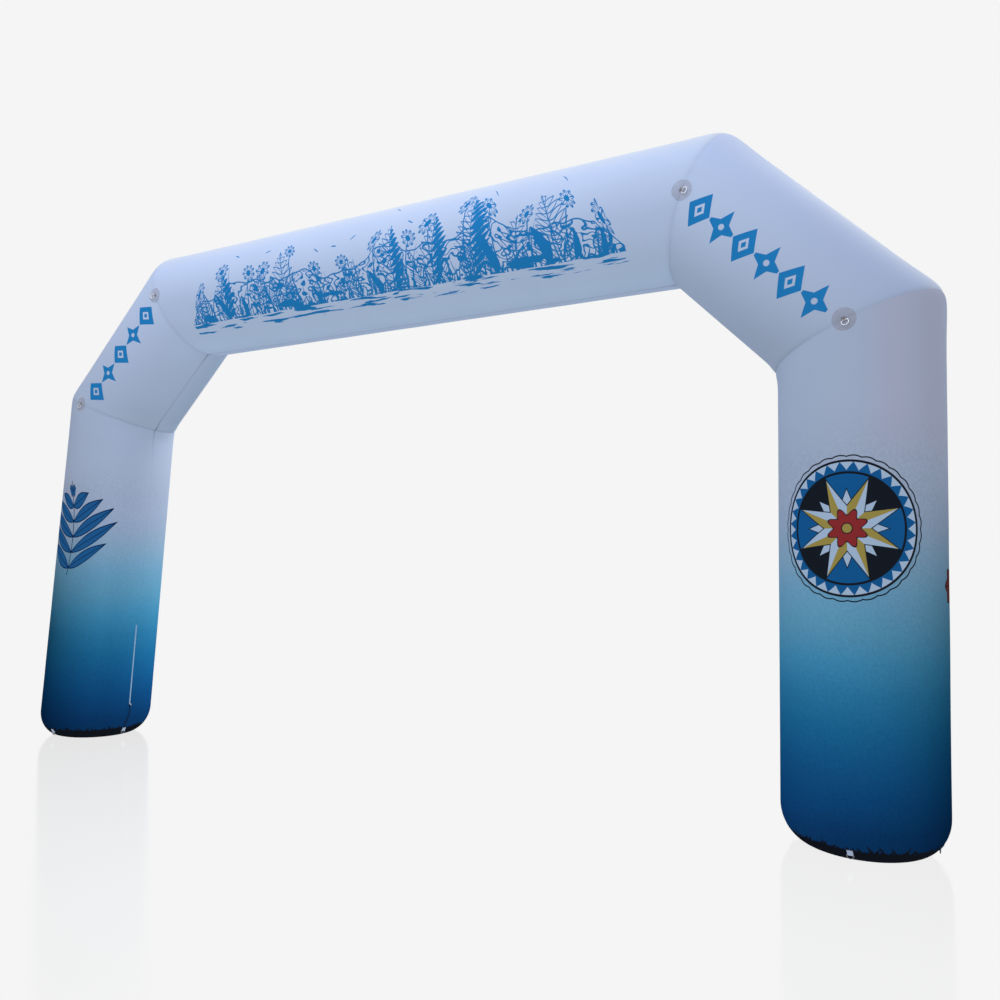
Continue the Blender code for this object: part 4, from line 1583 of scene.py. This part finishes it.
@dataclass(frozen=True)
class BowRing:
    """A D-shaped wire ring: a straight bar, short sides and a round bow."""

    width: float
    depth: float
    wire_radius: float = 0.0026
    bow_share: float = 0.8
    corner: float = 0.0022

    def path(self, bar: Vector, across: Vector, hang: Vector) -> Path:
        """Middle line of the wire."""
        half = self.width / 2
        bow = half * self.bow_share
        side = self.depth - bow
        turns = [pi / 2 * k / 5 for k in range(1, 5)]
        bend = [(self.corner * (1 - sin(t)), self.corner * (1 - cos(t))) for t in turns]
        flat = [(-half + self.corner + (self.width - 2 * self.corner) * k / 16, 0.0) for k in range(17)]
        flat.extend((half - a, b) for a, b in bend)
        flat.extend((half, self.corner + (side - self.corner) * k / 6) for k in range(6))
        flat.extend((half * cos(pi * k / 32), side + bow * sin(pi * k / 32)) for k in range(33))
        flat.extend((-half, side - (side - self.corner) * k / 6) for k in range(1, 7))
        flat.extend((-half + b, a) for a, b in bend)
        return [bar + across * a + hang * b for a, b in flat]

    def build(self, name: str, bar: Vector, across: Vector, hang: Vector, finish: Material) -> Object:
        """Make the ring."""
        return wire_piece(name, self.path(bar, across, hang), self.wire_radius, 14, finish, ring=True)


@dataclass
class SeamPatch:
    """A round film patch over a mitre seam, with a folded strap and a ring on it."""

    mitre: Mitre
    face: Face
    skin: Skin
    film: Material
    steel: Material
    radius: float = 0.070
    thickness: float = 0.0015
    bar_shift: float = 0.010
    strap_length: float = 0.026
    strap: FoldedStrap = FoldedStrap(width=0.024)
    ring: BowRing = BowRing(width=0.040, depth=0.030)
    ring_tilt: float = radians(14)
    rings: int = 22
    spokes: int = 96
    sink_share: float = 0.75

    @property
    def suffix(self) -> str:
        """End of the names of the pieces."""
        return f"{self.face.name.lower()}_{self.mitre.name.lower()}"

    @property
    def normal(self) -> Vector:
        """Direction out of the tube at the patch."""
        return self.mitre.front * self.face.value

    @property
    def along(self) -> Vector:
        """Down the tube, across the seam."""
        return towards(self.mitre.along, -Z_AXIS)

    @property
    def across(self) -> Vector:
        """Along the seam, and along the skin at the patch's middle."""
        mitre = self.mitre
        rise = mitre.outward - mitre.axes[0] * mitre.outward.dot(mitre.axes[0])
        drop = PATCH_DROPS[mitre]
        slope = drop * rise.length_squared / sqrt(SIZES.radius ** 2 - drop ** 2 * rise.length_squared)
        return (mitre.outward + self.normal * slope).normalized()

    @property
    def upright(self) -> Vector:
        """Out of the skin at the patch's middle."""
        return towards(self.along.cross(self.across), self.normal)

    def seat(self, seam_offset: float, along_offset: float, lift: float) -> Vector:
        """Point over the plain tube beside the seam."""
        mitre = self.mitre
        flat = mitre.outward * (seam_offset - PATCH_DROPS[mitre]) + self.along * along_offset
        axis = mitre.axes[1 if flat.dot(mitre.along) > 0 else 0]
        across = flat - axis * flat.dot(axis)
        height = sqrt(SIZES.radius ** 2 - across.length_squared) + lift
        return mitre.point + flat + self.normal * height

    def laid(self, seam_offset: float, along_offset: float, lift: float) -> Vector:
        """Point of the film, which sinks part of the way into the cloth's creases."""
        point = self.seat(seam_offset, along_offset, 0.0)
        depth = max(self.skin.depth(point, self.normal), 0.0)
        edge = hypot(seam_offset, along_offset) / self.radius
        sink = depth * (self.sink_share + (0.9 - self.sink_share) * smooth_step(edge * 3 - 2))
        return point + self.normal * (lift - sink)

    def build_film(self) -> Object:
        """Make the disc, rounded at its rim, as a closed thin body."""
        rows, spots = [], []
        levels = [(0.015 + 0.985 * k / self.rings, 1.0) for k in range(self.rings + 1)]
        levels += [(1.004, 0.5)] + [(r, 0.0) for r, _top in reversed(levels)]
        for share, top in levels:
            size = self.radius * share
            lift = SIZES.seat_gap + self.thickness * top
            if top == 1.0 and share > 0.97:
                lift -= self.thickness * 0.25
            turns = [2 * pi * k / self.spokes for k in range(self.spokes + 1)]
            spots.append([(size * cos(turn), size * sin(turn)) for turn in turns])
            rows.append([self.laid(*offsets, lift) for offsets in spots[-1][:-1]])
        made = grid_piece("film_patch_" + self.suffix, rows, self.film, spots)
        return settle(made, "patch_film", "patch_" + self.suffix)

    def build(self) -> None:
        """Make the film, the strap and the ring."""
        film = self.build_film()
        strap, across, upright = self.strap, self.across, self.upright
        seat = []
        for k in range(25):
            along = self.bar_shift - self.strap_length * (1 - k / 24)
            seat.append((self.seat(0, along, SIZES.seat_gap + self.thickness), upright))
        folded = settle(strap.build("film_tab_" + self.suffix, seat, across, self.film),
                        "patch_film", "strap_" + self.suffix)
        hang = self.along * cos(self.ring_tilt) + upright * sin(self.ring_tilt)
        settle(self.ring.build("steel_ring_" + self.suffix, strap.bar_of(seat), across, hang, self.steel),
               "ring_steel", "ring_" + self.suffix)
        under = ["cloth_" + line.name for line in LINES.values() if self.mitre in (line.low, line.high)]


class BasePlace(Enum):
    """Where the ground rings stand round a foot, in degrees from its outer side."""

    OUTER = 0.0
    FRONT = 90.0
    INNER = 180.0
    BACK = 270.0


@dataclass
class GroundTab:
    """A webbing tab low on a foot that holds a ring against the ground anchors."""

    line: TubeLine
    place: BasePlace
    webbing: Material
    thread: Material
    steel: Material
    turn: float = 0.0
    top: float = 0.089
    bottom: float = 0.060
    strap: FoldedStrap = FoldedStrap(width=0.034)
    ring: BowRing = BowRing(width=0.040, depth=0.022)

    def build(self) -> None:
        """Make the tab, its stitches and its ring."""
        suffix = f"{self.line.name.replace('leg_', '')}_{self.place.name.lower()}"
        angle = radians(self.place.value + self.turn)
        radial = self.line.radial(angle)
        arm = radial - self.line.axis * (radial.z / self.line.axis.z)
        arm = Vector((arm.x, arm.y, 0)).normalized()
        across = Z_AXIS.cross(arm)
        heights = [self.top + (self.bottom - self.top) * k / 32 for k in range(33)]
        middle = foot_skin(self.line, angle, heights[16])[0]
        seat = []
        for height in heights:
            point, normal = foot_skin(self.line, angle, height)
            point = point - across * (point - middle).dot(across)
            seat.append((point, square(normal, across)))
        settle(self.strap.build("webbing_tab_" + suffix, seat, across, self.webbing),
               "webbing", "base_strap_" + suffix)
        rows = Stitching(self.thread, pitch=0.0034, stitch=0.0026, thread=0.0007)
        settle(rows.build("tab_stitches_" + suffix, self.strap.stitch_lines(seat, across)), "webbing")
        settle(self.ring.build("steel_ground_ring_" + suffix, self.strap.bar_of(seat), across,
                               -Z_AXIS, self.steel), "ring_steel", "base_ring_" + suffix)


@dataclass
class DeflationZip:
    """White coil zip down the inner side of the left leg, with slider, tab and cord."""

    tape: Material
    coil: Material
    casting: Material
    braid: Material
    line: TubeLine = LINES["leg_left"]
    angle: float = radians(178.4)
    bottom: float = 0.315
    top: float = 1.080
    width: float = 0.013
    thickness: float = 0.003
    tape_thickness: float = 0.0010
    tooth_pitch: float = 0.0026
    slider: Triple = (0.018, 0.011, 0.005)
    puller: Triple = (0.030, 0.008, 0.002)
    puller_lean: float = radians(35)
    puller_overlap: float = 0.004
    cord_radius: float = 0.003
    cord_lead: float = 0.010
    cord_route: tuple[Triple, ...] = (
        (0.265, 178.9, 0.0095), (0.240, 178.7, 0.0105), (0.212, 178.2, 0.0100),
        (0.174, 177.3, 0.0085), (0.138, 176.6, 0.0065), (0.098, 177.2, 0.0042))

    def __post_init__(self) -> None:
        """Find the zip's own directions."""
        self.low, self.normal = foot_skin(self.line, self.angle, self.bottom)
        self.high = foot_skin(self.line, self.angle, self.top)[0]
        self.along = (self.low - self.high).normalized()
        self.across = towards(self.along.cross(self.normal).normalized(), FRONT)

    def build_tape(self) -> Object:
        """Two tapes with the closed coil between them, as one piece."""
        steps = 120
        pieces = []
        for side in (-1, 1):
            lift = SIZES.seat_gap + self.tape_thickness / 2
            shift = self.across * (side * (self.width / 4 + 0.0002)) + self.normal * lift
            path = [self.high.lerp(self.low, k / steps) + shift for k in range(steps + 1)]
            pieces.append(ribbon(f"zip_tape_{side}", path, self.across,
                                 self.width / 2 - 0.0014, self.tape_thickness, self.tape))
        return join_pieces("zip_tape", pieces)

    def build_coil(self) -> Object:
        """Teeth of the closed coil, laid out along the zip by a geometry tree."""
        net = GeometryNet("tree_zip_coil", {
            "Finish": self.coil, "Start": self.high + self.normal * 0.00215,
            "End": self.low + self.normal * 0.00215, "Pitch": self.tooth_pitch,
            "Reach": 0.0022, "Across": self.across, "Along": self.along})
        line = net.out("GeometryNodeCurvePrimitiveLine", {"Start": net["Start"], "End": net["End"]})
        points, _tangent = net.points_along(line)
        aim = net.aimed("X", net["Along"], net.aimed("Z", net["Across"]), "Z")
        tooth = net.ball(8, 5)
        size = net.join(net["Pitch"] * 0.62, 0.0017, net["Reach"] * 1.5)
        both = net.node("GeometryNodeJoinGeometry")
        for side in (-1.0, 1.0):
            shift = net.total(net.scaled(net["Across"], net["Reach"] * side / 2),
                              net.scaled(net["Along"], net["Pitch"] * side / 4))
            moved = net.out("GeometryNodeSetPosition", {"Geometry": points, "Offset": shift})
            net.feed(both, {0: net.placed(moved, tooth, aim, size)})
        net.close(Socket(net, both.outputs[0]))
        return net.run("zip_coil")

    def build_slider(self) -> Vector:
        """Make the slider and its leaning tab, and return the slider's middle."""
        length, width, thickness = self.slider
        lift = SIZES.seat_gap + self.thickness + SIZES.seam_gap + thickness / 2
        centre = self.low - self.along * (length / 2) + self.normal * lift
        axes = (self.along, self.across, self.normal)
        half, side = length / 2, width / 2
        flank = [(-half, side * 0.62), (-half * 0.55, side), (half * 0.2, side), (half, side * 0.72)]
        waist = [(x, -y) for x, y in flank] + flank[::-1]
        body = bevelled_prism("slider_body", waist, thickness * 0.52, axes,
                              centre - self.normal * (thickness * 0.24), self.casting, 0.0006)
        bridge_path = [centre + self.along * (half * 0.62 * cos(turn))
                       + self.normal * (thickness * (0.02 + 0.36 * sin(turn)))
                       for turn in (pi * k / 16 for k in range(17))]
        bridge = ribbon("slider_bridge", bridge_path, self.across, width * 0.30, 0.0011, self.casting)
        settle(join_pieces("zip_slider_casting", [body, bridge]), "zip_metal", "zip_slider")

        length, width, plate = self.puller
        lean = self.along * cos(self.puller_lean) - self.across * sin(self.puller_lean)
        beside = self.along * sin(self.puller_lean) + self.across * cos(self.puller_lean)
        rise = thickness / 2 + SIZES.seam_gap + plate / 2
        middle = centre + self.normal * rise + lean * (length / 2 - self.puller_overlap)
        outline, hole = [], []
        for k in range(40):
            turn = 2 * pi * k / 40
            x, y = cos(turn), sin(turn)
            flat = abs(x) ** 0.4 * (1 if x > 0 else -1)
            outline.append((flat * length / 2, y * width / 2 * (0.92 - 0.08 * flat)))
            hole.append((length * 0.30 + x * width * 0.26, y * width * 0.26))
        settle(bevelled_prism("zip_pull_tab", outline, plate, (lean, beside, self.normal),
                              middle, self.casting, 0.0003, hole), "zip_metal", "zip_puller")
        return centre

    def build_cord(self, slider_centre: Vector) -> None:
        """Make the black pull cord, which hangs from the slider to the ground ring's tab."""
        knot = slider_centre + self.along * (self.slider[0] / 2 + SIZES.seam_gap)
        controls = [knot, knot + self.along * self.cord_lead]
        for height, degrees, lift in self.cord_route:
            point, normal = foot_skin(self.line, radians(degrees), height)
            controls.append(point + normal * lift)
        path = smooth_points(controls, 0.0025)
        taper = [1.0] * len(path)
        for k in range(4):
            taper[k] = taper[-1 - k] = 0.80 + 0.05 * k
        cord = wire_piece("pull_cord_braid", path, self.cord_radius * 0.96, 16, self.braid, taper=taper)
        settle(cord, "cord", "pull_cord")
        length = sum((b - a).length for a, b in zip(path, path[1:]))
        tuple(path[0])
        [tuple(point) for point in path[::5] + path[-1:]]

    def build(self) -> None:
        """Make the whole zip."""
        settle(self.build_tape(), "zip_white", "zip_chain")
        settle(self.build_coil(), "zip_white")
        self.build_cord(self.build_slider())


def smooth_points(controls: Path, step: float) -> Path:
    """Evenly spaced points of a smooth curve through control points."""
    ends = [controls[0] * 2 - controls[1]] + controls + [controls[-1] * 2 - controls[-2]]
    dense = []
    for a, b, c, d in zip(ends, ends[1:], ends[2:], ends[3:]):
        for k in range(20):
            t = k / 20
            dense.append(0.5 * (2 * b + (c - a) * t + (2 * a - 5 * b + 4 * c - d) * t * t
                                + (3 * b - a - 3 * c + d) * t ** 3))
    dense.append(controls[-1])
    total = sum((q - p).length for p, q in zip(dense, dense[1:]))
    spans = max(round(total / step), 2)
    points, walked, wanted = [dense[0]], 0.0, total / spans
    for p, q in zip(dense, dense[1:]):
        length = (q - p).length
        while walked + length >= wanted and len(points) < spans:
            points.append(p.lerp(q, (wanted - walked) / length))
            wanted += total / spans
        walked += length
    return points + [dense[-1]]


def join_pieces(name: str, pieces: list[Object]) -> Object:
    """Make one object of several that lie at the origin and share a finish."""
    edit = bmesh.new()
    for piece in pieces:
        edit.from_mesh(piece.data)
    joined = taken_out(name, edit, pieces[0].data.materials[0])
    for piece in pieces:
        bpy.data.objects.remove(piece, do_unlink=True)
    return joined


# -------------------- studio

class SoftBox(Enum):
    """The lamps: place, aim, size, power, colour and spread in degrees."""

    FRONT_BOX = ((0.0, -3.2, 6.4), (0.0, 0.0, 4.2), (9.0, 2.0), 62.5, (0.75, 0.96, 1.30), 180)
    TOP_BOX = ((0.2, 0.1, 7.6), (0.2, 0.0, 4.2), (8.6, 3.0), 48.0, (1.12, 1.02, 0.89), 180)
    SIDE_BOX = ((5.8, 2.6, 6.2), (3.4, 0.0, 3.7), (1.6, 1.6), 7.0, (0.96, 1.00, 1.06), 50)
    BACK_BOX = ((-1.9, 3.3, 6.8), (-3.4, 0.0, 2.0), (1.2, 2.0), 17.0, (0.88, 0.99, 1.08), 60)


@dataclass(frozen=True)
class Studio:
    """Pale floor, soft surroundings, wide lamps overhead, and the camera."""

    backdrop: float = 0.913
    camera_place: Triple = (4.2677, -5.8783, 1.6975)
    yaw: float = 0.5127
    pitch: float = 0.0803
    roll: float = 0.0195
    lens: float = 31.063
    floor_size: float = 400.0
    gloss_reach: float = 6.0
    sky: Colour = (0.451, 0.470, 0.524)
    ground_bounce: Colour = (0.458, 0.536, 0.622)
    bounce_lean: float = 0.17

    def build_camera(self) -> None:
        """Set the camera."""
        forward = Vector((-sin(self.yaw) * cos(self.pitch), cos(self.yaw) * cos(self.pitch),
                          sin(self.pitch)))
        side = Vector((cos(self.yaw), sin(self.yaw), 0))
        up = side.cross(forward)
        right = side * cos(self.roll) + up * sin(self.roll)
        up = up * cos(self.roll) - side * sin(self.roll)
        camera = bpy.data.cameras.new("camera")
        camera.lens = self.lens
        camera.sensor_fit = "HORIZONTAL"
        camera.clip_end = 400.0
        made = link(bpy.data.objects.new("camera", camera))
        turn = Matrix((right, up, -forward)).transposed().to_4x4()
        made.matrix_world = Matrix.Translation(self.camera_place) @ turn
        bpy.context.scene.camera = made

    def build_world(self) -> None:
        """Plain pale surroundings that light the cloth softly, brighter from above."""
        world = bpy.data.worlds.new("studio")
        bpy.context.scene.world = world
        net = ShadeTree(world)
        side, _depth, level = net.split(net.out("ShaderNodeTexCoord", output="Generated"))
        above = net.unit(level * 25.0 + 0.5)
        bounce = net.scaled(self.ground_bounce, side * self.bounce_lean + 1.0)
        lit = net.out("ShaderNodeBackground", {"Color": net.blend(above, bounce, self.sky), "Strength": 1.0})
        seen = net.out("ShaderNodeBackground", {"Color": WHITE, "Strength": self.backdrop})
        rays = net.out("ShaderNodeLightPath", output="Is Diffuse Ray")
        net.end("ShaderNodeOutputWorld", net.out("ShaderNodeMixShader", {0: rays, 1: seen, 2: lit}))

    def build_floor(self) -> None:
        """A pale floor that fades into its surroundings, with a faint gloss."""
        half, low = self.floor_size / 2, -0.0005
        mesh = bpy.data.meshes.new("studio_floor")
        mesh.from_pydata([(-half, -half, low), (half, -half, low), (half, half, low), (-half, half, low)],
                         [], [(0, 1, 2, 3)])
        floor = link(bpy.data.objects.new("studio_floor", mesh))
        material = bpy.data.materials.new("studio_floor")
        net = ShadeTree(material)
        pale = net.out("ShaderNodeEmission", {"Color": WHITE, "Strength": self.backdrop})
        gloss = net.out("ShaderNodeBsdfGlossy", {"Color": WHITE, "Roughness": 0.12})
        facing = net.out("ShaderNodeFresnel", {"IOR": 1.25})
        x, y, _z = net.split(net.out("ShaderNodeTexCoord", output="Object"))
        near = net.unit(2.0 - (x * x + y * y) / self.gloss_reach ** 2)
        net.end("ShaderNodeOutputMaterial", net.out(
            "ShaderNodeMixShader", {0: facing * near * 0.5, 1: pale, 2: gloss}))
        mesh.materials.append(material)
        floor.visible_diffuse = False

    def build_softboxes(self) -> None:
        """Two wide lamps over the crossbar, and a small one behind each end."""
        for box in SoftBox:
            place, aim, size, power, colour, spread = box.value
            light = bpy.data.lights.new(box.name.lower(), "AREA")
            light.shape = "RECTANGLE"
            light.size, light.size_y = size
            light.energy = power
            light.color = colour
            light.spread = radians(spread)
            made = link(bpy.data.objects.new(light.name, light))
            made.visible_camera = False
            turn = (Vector(place) - Vector(aim)).to_track_quat("Z", "Y").to_matrix().to_4x4()
            made.matrix_world = Matrix.Translation(place) @ turn

    def build(self) -> None:
        """Make the studio."""
        self.build_camera()
        self.build_world()
        self.build_floor()
        self.build_softboxes()
        view = bpy.context.scene.view_settings
        view.view_transform = "Standard"
        view.look = "None"


# -------------------- the whole arch

def seam_stitches(thread: Material, skin: Skin) -> None:
    """Two rows of stitches beside each mitre seam, clear of the patches."""
    for mitre in Mitre:
        paths = []
        for line in LINES.values():
            if mitre not in (line.low, line.high):
                continue
            side = 1 if mitre is line.low else -1
            normal = line.plane(mitre)
            runs = [[]]
            for k in range(360):
                radial = line.radial(2 * pi * (k + 0.5) / 360)
                base = line.start + radial * SIZES.radius
                place = -(base - mitre.point).dot(normal) / line.axis.dot(normal)
                point = base + line.axis * (place + side * 0.016)
                patch = abs((point - mitre.point).dot(mitre.outward) + PATCH_DROPS[mitre])
                if patch < 0.075 and abs(radial.dot(mitre.front)) > 0.5:
                    runs.append([])
                else:
                    runs[-1].append(skin.foot_of(point, radial))
            paths.extend((run, False) for run in runs if len(run) > 1)
        made = Stitching(thread).build("seam_stitches_" + mitre.name.lower(), paths)
        settle(made, "top_cloth")


# Faint colour casts, from daylight that isn't even round the tube
BAR_CASTS = (Cast(30, 0.15, (1.115, 1.08, 1.00)), Cast(62, 0.12, (0.99, 1.015, 1.045)),
             Cast(105, 0.14, (0.935, 0.94, 0.95)), Cast(162, 0.17, (1.055, 1.08, 1.065)))
LEFT_SHOULDER_CASTS = (Cast(-150, 0.20, (0.87, 0.92, 0.92)), Cast(160, 0.16, (1.055, 1.065, 1.06), low=3.55),
                       Cast(155, 0.25, (0.95, 0.96, 0.92), high=3.05))
RIGHT_SHOULDER_CASTS = (Cast(50, 0.24, (0.92, 0.95, 1.02)), Cast(8, 0.17, (1.19, 1.15, 1.06), high=4.15),
                        Cast(143, 0.22, (0.95, 0.955, 0.94)))
RIGHT_LEG_CASTS = (Cast(60, 0.16, (1.06, 0.975, 0.98), low=2.3),
                   Cast(25, 0.15, (1.04, 0.945, 0.95), low=2.3))


def main() -> None:
    """Build the arch piece by piece."""
    logging.basicConfig(level=logging.INFO, format="%(name)s: %(message)s")
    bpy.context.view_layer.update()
    Studio().build()

    cloths = {
        "leg_left": LeafLegCloth("cloth_leaf_leg"),
        "leg_right": StarLegCloth("cloth_star_leg", RIGHT_LEG_CASTS),
        "shoulder_left": LozengeCloth("cloth_shoulder_left", LEFT_SHOULDER_CASTS, first=0.12,
                                      count=5, pitch=0.240, closing_shade=0.22),
        "shoulder_right": LozengeCloth("cloth_shoulder_right", RIGHT_SHOULDER_CASTS),
        "crossbar": MeadowCloth("cloth_meadow", BAR_CASTS, closing_shade=0.20)}
    steel = SteelFinish("ring_steel").material()
    dull_steel = SteelFinish("base_ring_steel", (0.20, 0.21, 0.235), 0.38).material()
    film = FilmFinish("patch_film").material()
    webbing = WovenFinish("webbing_white", (0.79, 0.86, 1.0), (0.50, 0.57, 0.72), 0.0016).material()
    thread = ThreadFinish("white_thread", (0.60, 0.66, 0.78)).material()

    closings = {
        "leg_left": ClosingSeam(depth=0.0004, high_lean=radians(2.4), bend=4.0),
        "shoulder_left": ClosingSeam(depth=0.0042, reach=0.009, low_lean=radians(2.4)),
        "crossbar": ClosingSeam(depth=0.0035, reach=0.009)}
    zip_spans, tubes = {"leg_left": (0.24, 1.12)}, {}
    for name, line in LINES.items():
        rows = {"leg": 160, "shoulder": 120, "crossbar": 240}[name.split("_")[0]]
        tube = AirTube(line, cloths[name].material(), rows, zip_span=zip_spans.get(name),
                       closing=closings.get(name, ClosingSeam()))
        tubes[name] = tube.build()
    skin = Skin(tubes)
    for mitre in Mitre:
        for face in Face:
            SeamPatch(mitre, face, skin, film, steel).build()
    for name, turn in (("leg_left", -1.5), ("leg_right", 3.0)):
        for place in BasePlace:
            GroundTab(LINES[name], place, webbing, thread, dull_steel, turn).build()
    DeflationZip(WovenFinish("zip_tape", (0.56, 0.77, 0.96), (0.39, 0.58, 0.78), 0.0008,
                             0.0001).material(),
                 ThreadFinish("zip_coil", (0.60, 0.84, 1.0)).material(),
                 SteelFinish("zip_casting", (0.60, 0.68, 0.80), 0.3).material(),
                 BraidFinish("cord_braid", 0.003).material()).build()
    seam_stitches(thread, skin)


if __name__ == "__main__":
    main()
